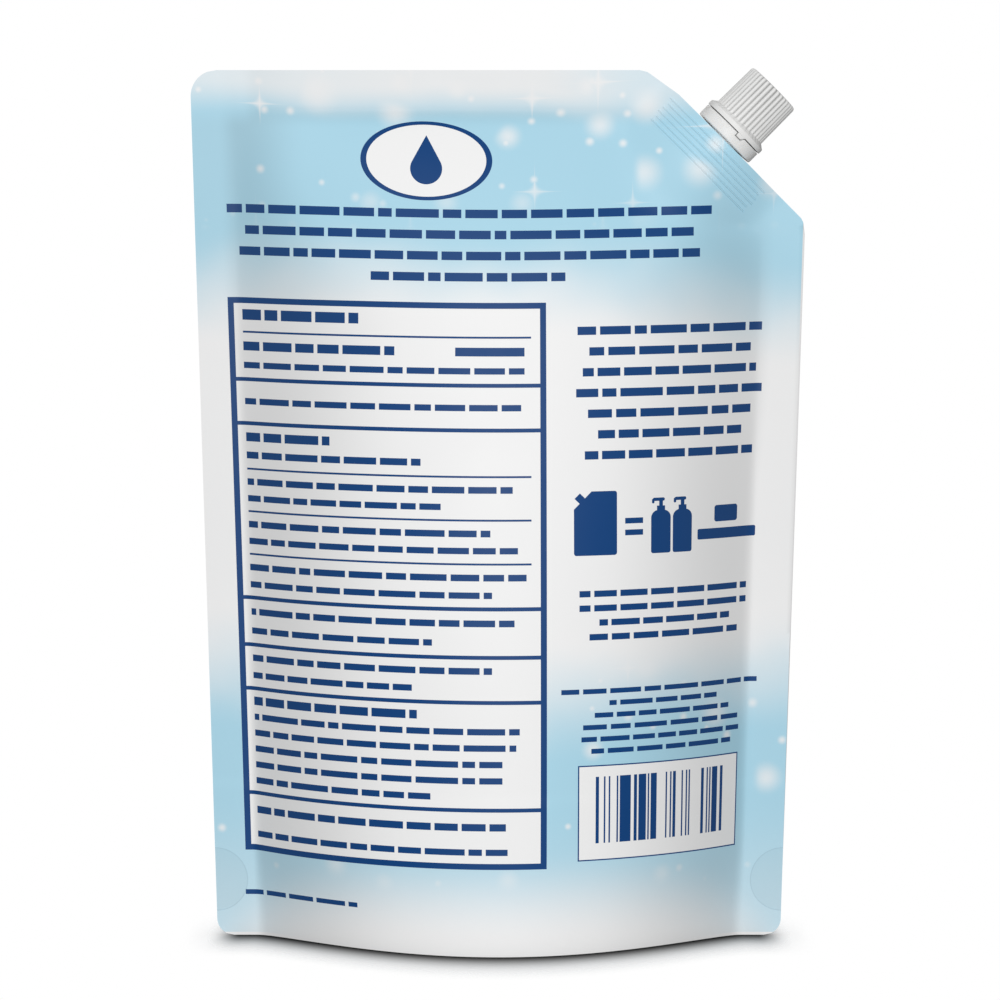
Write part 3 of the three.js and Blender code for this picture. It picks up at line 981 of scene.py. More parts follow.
def table_frame(graph, u, v):
    """The table's white sheet, and its border and rules."""
    bottom = TABLE_CELLS[-1][0]
    edges = (TABLE_LEFT, TABLE_RIGHT, bottom, TABLE_TOP)
    sheet = graph.box(u, v, *edges)
    border = sheet - graph.box(u, v, *inner(edges, TABLE_BORDER))
    indent = graph.box(u, v, COPY_LEFT, TABLE_RIGHT - (COPY_LEFT - TABLE_LEFT), bottom, TABLE_TOP)
    rules = []
    for rule, weight, _ in TABLE_CELLS[:-1]:
        span = sheet if weight > HEAVY_RULE else indent
        rules.append(span & graph.near(v, rule, weight / 2))
    return sheet, border | graph.joined(rules)


def refill_signs(graph, u, v):
    """A small pouch, the two pump bottles that it fills, and plain bars beside them."""
    spout = (abs(u + v - SMALL_SPOUT_ALONG) < SMALL_SPOUT_HALF_WIDTH) & graph.near(
        v - u, SMALL_SPOUT_ACROSS, SMALL_SPOUT_HALF_HEIGHT
    )
    signs = [graph.plate(u, v, *SMALL_POUCH) & ((v - u) < SMALL_POUCH_CUT), spout]
    signs += [graph.plate(u, v, *bar) for bar in BAR_PLATES]
    for middle in BOTTLE_MIDDLES:
        signs += [graph.plate(u - middle, v - SIGN_BASE, *plate) for plate in BOTTLE_PLATES]
    return graph.joined(signs)


def stripe_box(graph, u, v):
    """A framed panel with upright stripes of uneven width: its white ground and its marks."""
    panel = graph.box(u, v, *STRIPE_PANEL)
    border = panel - graph.box(u, v, *inner(STRIPE_PANEL, PANEL_LINE))
    inked = graph.lot(graph.math("FLOOR", u / STRIPE_WIDTH)) > STRIPE_BARE_SHARE
    return panel, border | (graph.box(u, v, *STRIPE_FIELD) & inked)


def drop_badge(graph, u, v):
    """An oval badge: its white ground, and its ring with a plain drop in the middle."""
    across, up = u - BADGE_PLACE[0], v - BADGE_PLACE[1]
    span = graph.math("SQRT", across * across + up * up * BADGE_FLATNESS)
    low = up + DROP_SINK
    round_end = graph.math("SQRT", across * across + low * low) < DROP_RADIUS
    taper = abs(across) < (DROP_POINT - low) * DROP_TAPER
    tip = taper & graph.near(low, DROP_TIP_MIDDLE, DROP_TIP_HALF)
    return span < BADGE_GROUND, graph.near(span, BADGE_RING, BADGE_RING_HALF) | round_end | tip


def glow_layer(graph, place, scale, size, share, sparkle):
    """Soft round glows strewn over the film, or four-pointed sparkles."""
    strewn = {"Vector": place, "Scale": scale, "Randomness": GLOW_SCATTER}
    cells, borders = (
        graph.node("ShaderNodeTexVoronoi", {"voronoi_dimensions": "2D", "feature": feature}, strewn)
        for feature in ("F1", "DISTANCE_TO_EDGE")
    )
    away = graph.node(
        "ShaderNodeVectorMath", {"operation": "SUBTRACT"}, {0: place, 1: cells.outputs["Position"]}
    )
    across, up, _ = graph.split(away.outputs[0])
    lot, wish, _ = graph.split(cells.outputs["Color"])
    spread = graph.math("SQRT", across * across + up * up)
    if sparkle:
        spread = spread * SPARKLE_HALO + graph.math("SQRT", abs(across * up)) * SPARKLE_POINTS
    reach = size * (GLOW_SMALLEST + wish * (1 - GLOW_SMALLEST))
    room = graph.smooth(graph.field(borders.outputs["Distance"]) / scale, 0.0, size * GLOW_ROOM)
    return (1 - graph.smooth(spread, 0.0, reach)) * room * (lot < share)


def sky_field(graph, place, across, v, aside, settings):
    """Two bands of pale blue that drift into mist, a haze along the top, and strewn glows."""
    sky, mist = tuple(settings.sky), tuple(settings.mist)
    drift = (graph.noise(place, DRIFT_SCALE) - 0.5) * DRIFT
    flank = aside * aside
    upper = graph.smooth(v + drift + flank * SKY_BEND + across * SKY_TILT, *UPPER_SKY)
    lower = 1 - graph.smooth(v + drift - flank * SKY_BEND, *LOWER_SKY)
    lower = lower * graph.smooth(v + flank * flank * FOOT_BEND, *FOOT)
    lower = lower * (graph.smooth(v, *FOOT_FADE) * FOOT_FADE_SHARE + (1 - FOOT_FADE_SHARE))
    field = graph.mix(upper | lower, mist, sky)
    haze = graph.smooth(v + drift * HAZE_DRIFT, *HAZE) * (1 - flank * HAZE_BEND)
    haze = haze * (1 - graph.smooth(across, *HAZE_SPOUT_SIDE) * HAZE_SPOUT_SHARE)
    field = graph.mix(haze * HAZE_STRENGTH, field, mist)
    lower_band = (1 - graph.smooth(v, *LOWER_GLOWS_TO)) * graph.smooth(v, *LOWER_GLOWS_FROM)
    glows = [
        glow_layer(graph, place, scale, size, share, sparkle) * strength
        for scale, size, share, strength, sparkle in GLOW_LAYERS
    ]
    bands = graph.smooth(v, *UPPER_GLOWS) | lower_band
    return graph.mix(graph.joined(glows) * bands * GLOW_STRENGTH, field, mist)


def spot_tone(graph, x, z, settings):
    """How much darker the film is at the welded spots, with a darker line round each."""
    widening = (settings.top_width - settings.base_width) / 2 / settings.height
    inset = settings.base_width / 2 + z * widening - abs(x)
    rise = z - PUNCH_HEIGHT
    inside = PUNCH_RADIUS - graph.math("SQRT", inset * inset + rise * rise)
    return (inside > 0) * SPOT_TONE + graph.near(inside, SPOT_RIM / 2, SPOT_RIM / 2) * SPOT_RIM_TONE


def belly_painted_shade(graph, x, z, v, aside, settings):
    """How much painted shade darkens the print beside the belly and under the top seal."""
    seal_top = settings.height - settings.seal_width
    narrow, spread = graph.smooth(v, *NARROWS), graph.smooth(v, *SPREADS)
    # Painted shade that grows towards the belly's sides
    painted_shade = graph.smooth(aside, SIDE_START + narrow * NARROW_START, SIDE_END + narrow * NARROW_END) * SIDE_SHADE
    painted_shade = painted_shade * (graph.smooth(v, *LOW_SIDE) * LOW_SIDE_SHARE + (1 - LOW_SIDE_SHARE))
    seal = graph.smooth(aside, SEAL_START + spread * SPREAD_START, SEAL_END + spread * SPREAD_END)
    on_top_seal = graph.smooth(z, seal_top - BROW_DEEP, seal_top + TOP_SEAL_RUN)
    # The painted shade is lighter over the flat side seals and mostly left off the top seal
    painted_shade = (painted_shade - seal * SEAL_SHADE_LIFT) * (1 - on_top_seal * TOP_SEAL_SHARE)
    # Painted shade in a band just under the top seal
    shade_under_seal = graph.smooth(z, seal_top - BROW_DEEP, seal_top - BROW_NEAR)
    shade_under_seal = shade_under_seal * (1 - graph.smooth(z, seal_top, seal_top + BROW_FADE) * BROW_FADE_SHARE)
    shade_under_seal = shade_under_seal * (1 - graph.smooth(aside, *BROW_ENDS))
    cut_sum = settings.top_width / 2 - settings.chamfer_leg + settings.height
    from_cut = (cut_sum - x - z) * math.sqrt(0.5)
    return (painted_shade + shade_under_seal * BROW_SHADE) * (graph.smooth(from_cut, *CUT_REACH) * CUT_SHARE + (1 - CUT_SHARE))


def printed_film(settings):
    """Satin laminate printed with a misty sky, a ruled table and lines of copy, with painted shade beside the
    belly and under the top seal.
    """
    material, graph, surface = new_material("printed_film")
    place = graph.node("ShaderNodeUVMap", {"uv_map": "film"}).outputs["UV"]
    u, v, _ = graph.split(place)
    x, _, z = graph.split(graph.node("ShaderNodeTexCoord").outputs["Object"])
    behind = u > BACK_OF_FILM / 2
    front = 1 - behind
    across = u - behind * BACK_OF_FILM
    aside = abs(across) / (settings.top_width / 2 / MM)
    sheet, rules = table_frame(graph, u, v)
    panel, stripes = stripe_box(graph, u, v)
    badge, emblem = drop_badge(graph, u, v)
    marks = rules | stripes | emblem | refill_signs(graph, u, v) | copy_lines(graph, u, v)
    field = sky_field(graph, place, across, v, aside, settings)
    field = graph.mix((sheet | panel | badge) * front, field, tuple(settings.mist))
    field = graph.mix(marks * front, field, tuple(settings.ink))
    field = graph.mix(v < HEM_HEIGHT, field, grey(HEM_WHITE))
    field = graph.mix(spot_tone(graph, x, z, settings), field, SPOT_DARK)
    # Painted shade: the print darkens towards near-black beside the belly and under the top seal
    field = graph.mix(belly_painted_shade(graph, x, z, v, aside, settings), field, PAINTED_SHADE_DARK)
    graph.feed(surface.inputs["Base Color"], field)
    clouds = graph.noise(place, FILM_CLOUDS, FILM_CLOUD_DETAIL)
    graph.feed(surface.inputs["Roughness"], clouds * FILM_ROUGHNESS_SPAN + FILM_ROUGHNESS)
    surface.inputs["Specular IOR Level"].default_value = FILM_GLOSS
    return material


def film_core():
    """The white core that shows at the film's cut edges."""
    material, graph, surface = new_material("film_core")
    place = graph.node("ShaderNodeTexCoord").outputs["Object"]
    grain = graph.noise(place, CORE_GRAIN)
    graph.feed(surface.inputs["Base Color"], graph.mix(grain, grey(CORE_DULL), grey(CORE_BRIGHT)))
    graph.feed(surface.inputs["Roughness"], grain * CORE_ROUGHNESS_SPAN + CORE_ROUGHNESS)
    return material


def moulded_white(name, settings, grain_scale, glow, valley_shade_share=0.0):
    """Injection-moulded polyethylene, faintly cloudy with a fine tool grain, with painted shade darkening the
    grip valleys.
    """
    material, graph, surface = new_material(name)
    place = graph.node("ShaderNodeTexCoord").outputs["Object"]
    white = tuple(settings.white)
    shaded = tuple(MOULD_CLOUD_SHADE * c for c in white[:3]) + (1.0,)
    cloudy = graph.mix(graph.noise(place, MOULD_CLOUDS), shaded, white)
    valley = graph.field(graph.node("ShaderNodeAttribute", {"attribute_name": "valley"}).outputs["Fac"])
    # Painted shade: the colour darkens towards grey in the grip valleys
    valley_shaded = graph.mix(valley * valley_shade_share, cloudy, grey(PAINTED_VALLEY_GREY))
    graph.feed(surface.inputs["Base Color"], valley_shaded)
    grain = graph.noise(place, grain_scale, GRAIN_DETAIL)
    graph.feed(surface.inputs["Roughness"], grain * MOULD_ROUGHNESS_SPAN + MOULD_ROUGHNESS)
    surface.inputs["Specular IOR Level"].default_value = MOULD_GLOSS
    surface.inputs["Subsurface Weight"].default_value = glow
    surface.inputs["Subsurface Radius"].default_value = SCATTER_RADIUS
    surface.inputs["Subsurface Scale"].default_value = SCATTER_SCALE
    return material


def film_rows(shape):
    """Heights of the film's rows, closer together at its rounded corners."""
    height = shape.sizes.height
    return np.concatenate(
        (
            np.arange(0, BASE_CORNER_RADIUS, FINE_ROW_STEP),
            np.arange(BASE_CORNER_RADIUS, height - FINE_ROW_RUN - ROW_STEP / 2, ROW_STEP),
            np.linspace(height - FINE_ROW_RUN, height, round(FINE_ROW_RUN / FINE_ROW_STEP)),
        )
    )


def film_stations(shape, z):
    """Places across one row: left margin, filled belly and right margin, crowded at the belly's creases."""
    left, right = shape.left_edge(z), shape.right_edge(z)
    inner_left, inner_right = shape.inner_left(z), shape.inner_right(z)
    margin = np.arange(MARGIN_STEPS) / MARGIN_STEPS
    even = np.arange(BELLY_STEPS) / BELLY_STEPS
    crowded = even - EDGE_CROWDING * np.sin(2 * np.pi * even) / (2 * np.pi)
    return np.concatenate(
        (
            left + (inner_left - left) * margin,
            inner_left + (inner_right - inner_left) * crowded,
            inner_right + (right - inner_right) * margin,
            [right],
        )
    )


def underside(half):
    """One side of the gusset's underside: (distance in from the rim's outer edge, rise) pairs."""
    share = smoothstep(half, *FOLD_OPENING)
    rim = min(RIM_WIDTH, half / 3)
    step = rim + min(RIM_HEIGHT, half / 6)
    return (rim, 0.0), (step, RIM_HEIGHT * share), (half, GUSSET_RISE * share)


def film_body(shape):
    """The closed film pack with no pocket yet: its points, its printed faces and its bare cut edges."""
    rows = film_rows(shape)
    stations = np.array([film_stations(shape, z) for z in rows])
    count, columns = stations.shape
    halves = np.array([shape.half_thickness(x, z) for x, z in zip(stations, rows)])
    heights = np.repeat(rows[:, None], columns, axis=1)
    behind = stations.copy()
    below_cut = smoothstep(shape.chamfer_sum - rows - shape.half_width(rows), 0, BACK_OVERLAP_RUN)
    behind[:, -1] += BACK_OVERLAP * below_cut * rows / shape.sizes.height
    front_points = np.stack((stations, -halves, heights), -1).reshape(-1, 3)
    back_points = np.stack((behind, halves, heights), -1).reshape(-1, 3)
    points = list(front_points) + list(back_points)
    front = np.arange(count * columns).reshape(count, columns)
    back = front + count * columns
    faces = []
    edges = []
    for i in range(count - 1):
        for j in range(columns - 1):
            faces.append((front[i, j], front[i, j + 1], front[i + 1, j + 1], front[i + 1, j]))
            faces.append((back[i, j], back[i + 1, j], back[i + 1, j + 1], back[i, j + 1]))
        edges.append((front[i, 0], front[i + 1, 0], back[i + 1, 0], back[i, 0]))
        edges.append((front[i, -1], back[i, -1], back[i + 1, -1], front[i + 1, -1]))
    for j in range(columns - 1):
        edges.append((front[-1, j], front[-1, j + 1], back[-1, j + 1], back[-1, j]))
    under = [[front[0, 0]] * 3 + [back[0, 0]] * 4]
    for j in range(1, columns - 1):
        half = halves[0, j]
        chain = [front[0, j]]
        rim, step, fold = underside(half)
        for inset, rise in (rim, step, fold):
            chain.append(len(points))
            points.append((stations[0, j], inset - half, rise))
        for inset, rise in (step, rim):
            chain.append(len(points))
            points.append((stations[0, j], half - inset, rise))
        under.append(chain + [back[0, j]])
    under.append([front[0, -1]] * 3 + [back[0, -1]] * 4)
    for here, there in zip(under, under[1:]):
        for k in range(len(here) - 1):
            corners = list(dict.fromkeys((here[k], here[k + 1], there[k + 1], there[k])))
            if len(corners) > 2:
                faces.append(tuple(corners))
    return points, faces, edges


def boat_reach(angle, span, half, tip):
    """Distance from the spout's axis to the boat-shaped outline in one direction."""
    across, along = abs(math.sin(angle)), abs(math.cos(angle))
    square = (half - tip) * along ** 2 / (span / 2) ** 2
    if square < MERGE:
        return half / across
    reach = (math.sqrt(across ** 2 + 4 * square * half) - across) / (2 * square)
    return min(reach, span / 2 / along) if along > MERGE else reach


def boat_angles(count):
    """Directions round the boat, closer together at its two tips."""
    even = np.arange(count) * 2 * math.pi / count
    return even - TIP_CROWDING * np.sin(2 * even)


def wrapped(name, profile_at, angles, ring):
    """A skin turned about z whose profile of (radius, height) points may change with the angle."""
    columns = np.array([profile_at(angle) for angle in angles])
    turns, count = columns.shape[:2]
    x = columns[..., 0] * np.cos(angles)[:, None]
    y = columns[..., 0] * np.sin(angles)[:, None]
    points = np.stack((x, y, columns[..., 1]), -1).reshape(-1, 3)
    faces = []
    for a in range(turns):
        here, there = a * count, (a + 1) % turns * count
        for k in range(count if ring else count - 1):
            after = (k + 1) % count
            faces.append((here + k, there + k, there + after, here + after))
    return new_mesh(name, points, faces)


def eased(profile, plain=(), ring=False):
    """The profile with its corners rounded off, apart from the numbered ones that are plain."""
    points = [np.array(p, float) for p in profile]
    result = []
    for k, corner in enumerate(points):
        if k in plain or not ring and k in (0, len(points) - 1):
            result.append(corner)
            continue
        before, after = points[k - 1] - corner, points[(k + 1) % len(points)] - corner
        spans = np.linalg.norm(before), np.linalg.norm(after)
        cut = min(EDGE_EASE, EASE_SHARE * min(spans))
        start, end = corner + before / spans[0] * cut, corner + after / spans[1] * cut
        for t in np.linspace(0, 1, EASE_STEPS):
            result.append((1 - t) ** 2 * start + 2 * t * (1 - t) * corner + t * t * end)
    return result


def wall(radius, low, high):
    """Closely spaced points along a straight wall that carries a thread."""
    steps = max(2, round(abs(high - low) / THREAD_STEP))
    return [np.array((radius, z)) for z in np.linspace(low, high, steps)]


def boat_prism(name, growth, low, high, half):
    """A boat-shaped block about the spout's axis."""
    span, tip = BOAT_LENGTH + 2 * growth, BOAT_TIP / 2 + growth

    def profile(angle):
        reach = boat_reach(angle, span, half + growth, tip)
        return [(0, low), (reach, low), (reach, high), (0, high)]

    return wrapped(name, profile, boat_angles(POCKET_STEPS), False)


def punch_discs(shape):
    """Discs that press the welded spots into both faces of both side seals."""
    work = bmesh.new()
    depth = shape.sizes.seal_width
    x, y = shape.half_width(PUNCH_HEIGHT), shape.sizes.film_ply + depth / 2
    for side in (-1, 1):
        for face in (-1, 1):
            place = Vector((side * x, face * y, PUNCH_HEIGHT))
            bmesh.ops.create_cone(
                work,
                cap_ends=True,
                segments=PUNCH_STEPS,
                radius1=PUNCH_RADIUS,
                radius2=PUNCH_RADIUS,
                depth=depth,
                matrix=Matrix.Translation(place) @ Matrix.Rotation(math.pi / 2, 4, "X"),
            )
    return work


def cut_film(film, shape):
    """Cuts the spout's pocket and presses the punched spots."""
    closure = ClosureShape(bpy.context.scene.refill_closure)
    pocket = boat_prism("pocket", CLEARANCE, -BOAT_DEPTH - CLEARANCE, BOAT_DEPTH, closure.boat_half)
    pocket.transform(SPOUT_FRAME)
    work = punch_discs(shape)
    work.from_mesh(pocket)
    tools = bpy.data.meshes.new("film_tools")
    work.to_mesh(tools)
    work.free()
    cutter = new_object("film_cutter", tools)
    modifier = film.modifiers.new("cut", "BOOLEAN")
    modifier.operation = "DIFFERENCE"
    modifier.solver = "EXACT"
    modifier.object = cutter
    film.data = evaluated_mesh(film)
    bpy.data.objects.remove(cutter)


def map_film(mesh, shape):
    """A UV map of each face's place on the flat film, in millimetres; the back lies far to the right."""
    corner = np.empty(len(mesh.loops), np.int32)
    mesh.loops.foreach_get("vertex_index", corner)
    points = np.empty(len(mesh.vertices) * 3, np.float32)
    mesh.vertices.foreach_get("co", points)
    x, _, z = points.reshape(-1, 3)[corner].T
    unseen = [face.center.y > 0 or face.normal.z < UNDERSIDE_NORMAL for face in mesh.polygons]
    behind = np.repeat(unseen, [face.loop_total for face in mesh.polygons])
    u, v = shape.flat_place(x, z)
    u = np.where(behind, BACK_OF_FILM - u / MM, u / MM)
    layer = mesh.uv_layers.new(name="film")
    layer.uv.foreach_set("vector", np.stack((u, v / MM), -1).astype(np.float32).ravel())


def settle(piece, body):
    """Puts a finished piece on its body."""
    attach(piece, body)


def add_thread(piece, sizes, depth, ends, turn, radius, material):
    """Raises the screw thread on one of the piece's walls and gives the piece its material."""
    values = {
        "Lead": sizes.thread_lead,
        "Height": depth,
        "Root Width": THREAD_ROOT,
        "Crest Width": THREAD_CREST,
        "Start": ends[0],
        "End": ends[1],
        "Run Out": THREAD_RUN_OUT,
        "Turn": turn,
        "Wall Radius": radius,
        "Material": material,
    }
    work_tree(piece, thread_tree(), values)


class REFILL_OT_film_pouch(bpy.types.Operator):
    """Build the filled pouch of printed film"""

    bl_idname = "refill.film_pouch"
    bl_label = "Film pouch"

    def execute(self, context):
        settings = context.scene.refill_pouch
        shape = PouchShape(settings)
        points, faces, edges = film_body(shape)
        mesh = bpy.data.meshes.new("film_pouch")
        mesh.from_pydata([tuple(p) for p in points], [], faces + edges)
        marks = np.zeros(len(mesh.polygons), np.int32)
        marks[len(faces):] = 1
        mesh.polygons.foreach_set("material_index", marks)
        mesh.materials.append(printed_film(settings))
        mesh.materials.append(film_core())
        film = new_object("film_pouch", mesh)
        cut_film(film, shape)
        map_film(film.data, shape)
        shade(film.data, FILM_CREASE)
        settle(film, PACK)
        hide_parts("pouch")
        return {"FINISHED"}


class REFILL_OT_weld_ridges(bpy.types.Operator):
    """Lay the weld ridges over the film at the spout"""

    bl_idname = "refill.weld_ridges"
    bl_label = "Weld ridges"

    def execute(self, context):
        film = bpy.data.objects["film_pouch"]
        ridges = new_object("weld_ridges", bpy.data.meshes.new("weld_ridges"))
        values = {
            "Film": film,
            "Count": RIDGE_COUNT,
            "First": RIDGE_FIRST,
            "Pitch": RIDGE_PITCH,
            "Length": RIDGE_LENGTH,
            "Stagger": RIDGE_STAGGER,
            "Ridge Radius": RIDGE_RADIUS,
            "Reach": RIDGE_REACH,
            "Place": SPOUT_PLACE,
            "Lean": (0, SPOUT_LEAN, 0),
            "Material": film.data.materials[0],
        }
        work_tree(ridges, ridge_tree(), values)
        map_film(ridges.data, PouchShape(context.scene.refill_pouch))
        shade(ridges.data, RIDGE_CREASE)
        settle(ridges, PACK)
        return {"FINISHED"}


class REFILL_OT_spout(bpy.types.Operator):
    """Build the spout: ribbed weld boat, flange, bead and threaded neck"""

    bl_idname = "refill.spout"
    bl_label = "Spout"

    def execute(self, context):
        sizes = context.scene.refill_closure
        c = ClosureShape(sizes)
        root = c.boat_half - WELD_SKIN
        lead_in = NECK_WALL / 3
        pitch = BOAT_DEPTH / WELD_RIB_COUNT

        def profile(angle):
            crest = boat_reach(angle, BOAT_LENGTH, c.boat_half, BOAT_TIP / 2)
            groove = boat_reach(angle, BOAT_LENGTH, c.boat_half - WELD_RIB_HEIGHT, BOAT_TIP / 2)
            side = []
            for k in range(WELD_RIB_COUNT):
                z = k * pitch - BOAT_DEPTH
                side += [(crest, z), (crest, z + pitch / 2)]
                side += [(groove, z + pitch * 2 / 3), (groove, z + pitch * 5 / 6)]
            neck = [
                (root, 0),
                (root, c.flange_base),
                (c.flange, c.flange_base),
                (c.flange, c.flange_top),
                (c.neck, c.flange_top),
                (c.neck, c.bead_base),
                (c.bead, c.bead_base),
                (c.bead, c.bead_base + BEAD_HEIGHT / 3),
                (c.neck, c.bead_top),
            ]
            threaded = wall(c.neck, c.bead_top + EDGE_EASE, c.neck_top - lead_in - EDGE_EASE)
            mouth = [(c.neck, c.neck_top - lead_in), (c.neck - lead_in, c.neck_top), (c.bore, c.neck_top)]
            lower = [(c.bore, -BOAT_DEPTH), *side, (crest, 0), *neck]
            plain = range(len(lower), len(lower) + len(threaded))
            return eased([*lower, *threaded, *mouth], plain, ring=True)

        mesh = wrapped("spout_moulding", profile, boat_angles(TURN_STEPS), True)
        spout = new_object("spout_moulding", mesh)
        white = moulded_white("spout_white", sizes, SPOUT_GRAIN, SOFT_GLOW)
        add_thread(spout, sizes, THREAD_DEPTH, NECK_THREAD, NECK_THREAD_TURN, c.neck, white)
        spout.data.transform(SPOUT_FRAME)
        shade(spout.data, MOULDED_EDGE)
        settle(spout, PACK)
        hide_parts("spout")
        return {"FINISHED"}


class REFILL_OT_tamper_band(bpy.types.Operator):
    """Build the tamper band with the notches that the cap's tabs drop into"""

    bl_idname = "refill.tamper_band"
    bl_label = "Tamper band"

    def execute(self, context):
        sizes = context.scene.refill_closure
        c = ClosureShape(sizes)
        edge = BAND_WALL / 5

        def profile(angle):
            top = min(c.band_top, c.cap_base - c.tab_drop(angle, CLEARANCE, NOTCH_ROOT))
            outline = [
                (c.band_bore, c.band_base),
                (c.band - edge, c.band_base),
                (c.band, c.band_base + edge),
                (c.band, top),
                (c.band_bore, top),
                (c.band_bore, c.lip_top),
                (c.lip, c.lip_top - BAND_LIP_HEIGHT / 4),
                (c.lip, c.lip_base),
                (c.band_bore, c.lip_base),
            ]
            return eased(outline, ring=True)

        band = new_object("tamper_ring", wrapped("tamper_ring", profile, c.turn_angles(TURN_STEPS), True))
        band.data.materials.append(moulded_white("band_white", sizes, BAND_GRAIN, SOFT_GLOW))
        band.data.transform(SPOUT_FRAME)
        shade(band.data, MOULDED_EDGE)
        settle(band, BAND)
        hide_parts("tamper_band")
        return {"FINISHED"}


class REFILL_OT_screw_cap(bpy.types.Operator):
    """Build the screw cap: ribbed grip, flange with two tabs, seal plug and inner thread"""

    bl_idname = "refill.screw_cap"
    bl_label = "Screw cap"

    def execute(self, context):
        sizes = context.scene.refill_closure
        c = ClosureShape(sizes)
        plug_in = c.plug - PLUG_WALL
        top_radius = c.cap - GRIP_DRAFT
        flange_top = c.cap_base + CAP_FLANGE_HEIGHT
        flare_top = flange_top + CAP_FLARE_HEIGHT
        tab_inner = c.band_bore + CLEARANCE

        def profile(angle):
            tab = c.cap_base - c.tab_drop(angle, 0, CAP_FLANGE_HEIGHT / 2)
            inside = [
                (0, c.ceiling),
                (plug_in, c.ceiling),
                (plug_in, c.ceiling - PLUG_LENGTH),
                (c.plug - PLUG_WALL / 4, c.ceiling - PLUG_LENGTH),
                (c.plug, c.ceiling),
                (c.cap_bore, c.ceiling),
            ]
            threaded = wall(c.cap_bore, c.ceiling - EDGE_EASE, c.cap_base + EDGE_EASE)
            foot = [
                (c.cap_bore, c.cap_base),
                (tab_inner, c.cap_base),
                (tab_inner + MERGE, tab),
                (c.band - MERGE, tab),
                (c.band, c.cap_base),
                (c.cap_flange, c.cap_base),
            ]
            outside = [
                (c.cap_flange, flange_top),
                (c.cap, flare_top),
                (top_radius, c.cap_top - CAP_EDGE),
                (top_radius - CAP_EDGE / 3, c.cap_top - CAP_EDGE / 3),
                (top_radius - CAP_EDGE, c.cap_top),
                (2 * GATE_RADIUS, c.cap_top),
                (GATE_RADIUS, c.cap_top - GATE_DEPTH),
                (0, c.cap_top - GATE_DEPTH),
            ]
            plain = range(len(inside), len(inside) + len(threaded))
            return eased([*inside, *threaded, *foot, *outside], plain)

        angles = c.turn_angles(sizes.rib_count * STEPS_PER_RIB)
        cap = new_object("ribbed_cap", wrapped("ribbed_cap", profile, angles, False))
        # The cap's material darkens its grip valleys with painted shade
        white = moulded_white("cap_white", sizes, CAP_GRAIN, CAP_GLOW, PAINTED_VALLEY_SHADE)
        add_thread(cap, sizes, -THREAD_DEPTH, CAP_THREAD, CAP_THREAD_TURN, c.cap_bore, white)
        ribs = {
            "Rib Count": float(sizes.rib_count),
            "Rib Depth": sizes.rib_depth,
            "Grip Radius": c.cap_bore + CAP_WALL / 4,
            "Grip Base": flange_top + CAP_FLARE_HEIGHT / 2,
            "Run In": CAP_FLARE_HEIGHT,
            "Material": white,
        }
        work_tree(cap, grip_tree(), ribs)
        cap.data.transform(SPOUT_FRAME)
        shade(cap.data, MOULDED_EDGE)
        settle(cap, CAP)
        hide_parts("screw_cap")
        return {"FINISHED"}


def softbox(name, place, aim, size, power):
    """A square area lamp turned towards a point, given back to be set further."""
    lamp = bpy.data.lights.new(name, "AREA")
    lamp.size = size
    lamp.energy = power
    made = new_object(name, lamp)
    made.location = place
    made.rotation_euler = (Vector(aim) - Vector(place)).to_track_quat("-Z", "Y").to_euler()
    return made


def studio_floor(settings):
    """A pale floor just under the pack, with a painted shadow where they meet, that fades away into the white
    backdrop.
    """
    material, graph, surface = new_material("studio_floor")
    place = graph.node("ShaderNodeTexCoord").outputs["Object"]
    x, y, _ = graph.split(place)
    reach = settings.base_width / 2 - settings.seal_width
    bow = (1 - (x / reach) * (x / reach)) | 0.0
    side = abs(y) - bow ** BASE_SECTION_POWER * (settings.base_depth / 2)
    end = abs(x) - settings.base_width / 2
    under = 1 - graph.smooth(end, -CORNER_FADE, CORNER_SPILL)
    # Painted shadow: the floor's colour goes to black along the pack's base
    painted_contact_shadow = under * (1 - graph.smooth(side, -SHADOW_PAINT_EDGE, SHADOW_PAINT_REACH))
    spill = 1 - graph.smooth(end, 0.0, SPILL_REACH)
    cover = under * (1 - SPILL_SHARE) + spill * SPILL_SHARE
    pale = graph.mix(graph.noise(place, FLOOR_CLOUDS), grey(FLOOR_DULL), grey(FLOOR_BRIGHT))
    graph.feed(surface.inputs["Base Color"], graph.mix(painted_contact_shadow, pale, grey(0.0)))
    graph.feed(surface.inputs["Alpha"], cover * (1 - graph.smooth(side, 0.0, FLOOR_REACH)))
    surface.inputs["Roughness"].default_value = FLOOR_ROUGHNESS
    surface.inputs["Specular IOR Level"].default_value = 0.0
    half = settings.base_width / 2 + FLOOR_MARGIN
    corners = [(x, y, -FLOOR_DROP) for x, y in ((-half, -half), (half, -half), (half, half), (-half, half))]
    mesh = bpy.data.meshes.new("studio_floor")
    mesh.from_pydata(corners, [], [(0, 1, 2, 3)])
    mesh.materials.append(material)
    return new_object("studio_floor", mesh)


def studio_world(scene, ambient):
    """White to the camera, and a dimmer even light on everything else."""
    world = bpy.data.worlds.new("studio")
    world.use_nodes = True
    scene.world = world
    graph = Graph(world.node_tree)
    path = graph.node("ShaderNodeLightPath")
    seen = graph.field(path.outputs["Is Camera Ray"]) | graph.field(path.outputs["Is Transmission Ray"])
    background = world.node_tree.nodes["Background"]
    background.inputs["Color"].default_value = grey(1.0)
    graph.feed(background.inputs["Strength"], seen * (1 - ambient) + ambient)


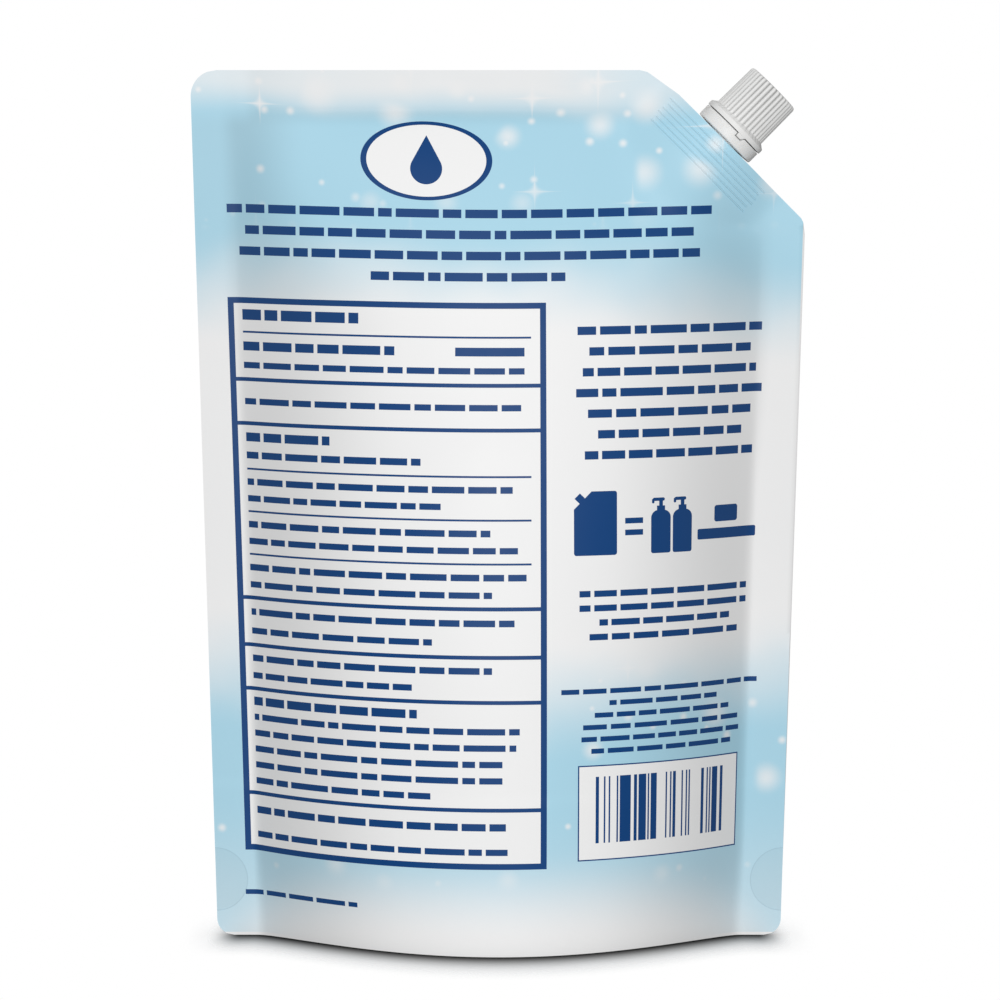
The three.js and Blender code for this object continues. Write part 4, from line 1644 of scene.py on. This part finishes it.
class REFILL_OT_stage(bpy.types.Operator):
    """Set the floor, the studio light and the camera"""

    bl_idname = "refill.stage"
    bl_label = "Stage"

    def execute(self, context):
        scene = context.scene
        settings = scene.refill_stage
        middle = (0, 0, scene.refill_pouch.height / 2)
        studio_floor(scene.refill_pouch)
        studio_world(scene, settings.ambient)
        softbox("key_light", KEY_PLACE, middle, KEY_SIZE, settings.key_power)
        softbox("top_light", TOP_PLACE, (0, 0, 0), TOP_SIZE, settings.top_power)
        back = softbox("back_light", BACK_PLACE, middle, BACK_SIZE, settings.back_power)
        back.visible_glossy = False
        camera = bpy.data.cameras.new("camera")
        camera.lens = settings.lens
        camera.sensor_width = SENSOR_WIDTH
        made = new_object("camera", camera)
        made.location = (settings.camera_shift, -settings.camera_distance, settings.camera_height)
        made.rotation_euler = (math.pi / 2 - settings.camera_pitch, 0, 0)
        scene.camera = made
        scene.view_settings.view_transform = "Standard"
        return {"FINISHED"}


class REFILL_PT_panel(bpy.types.Panel):
    """Lists the pouch's builders and settings"""

    bl_idname = "REFILL_PT_panel"
    bl_label = "Refill Pouch"
    bl_space_type = "VIEW_3D"
    bl_region_type = "UI"
    bl_category = "Refill Pouch"

    def draw(self, context):
        for group in (context.scene.refill_pouch, context.scene.refill_closure, context.scene.refill_stage):
            column = self.layout.column(align=True)
            for name in group.__annotations__:
                column.prop(group, name)
        for operator in BUILDERS:
            self.layout.operator(operator.bl_idname)


BUILDERS = (
    REFILL_OT_film_pouch,
    REFILL_OT_weld_ridges,
    REFILL_OT_spout,
    REFILL_OT_tamper_band,
    REFILL_OT_screw_cap,
    REFILL_OT_stage,
)
SETTINGS = {
    "refill_pouch": PouchSettings,
    "refill_closure": ClosureSettings,
    "refill_stage": StageSettings,
}


def register():
    for made in (*SETTINGS.values(), *BUILDERS, REFILL_PT_panel):
        bpy.utils.register_class(made)
    for name, group in SETTINGS.items():
        setattr(bpy.types.Scene, name, PointerProperty(type=group))


def unregister():
    for name in SETTINGS:
        delattr(bpy.types.Scene, name)
    for made in reversed((*SETTINGS.values(), *BUILDERS, REFILL_PT_panel)):
        bpy.utils.unregister_class(made)


def main():
    register()
    bpy.ops.refill.film_pouch()
    bpy.ops.refill.weld_ridges()
    bpy.ops.refill.spout()
    bpy.ops.refill.tamper_band()
    bpy.ops.refill.screw_cap()
    bpy.ops.refill.stage()


if __name__ == "__main__":
    main()
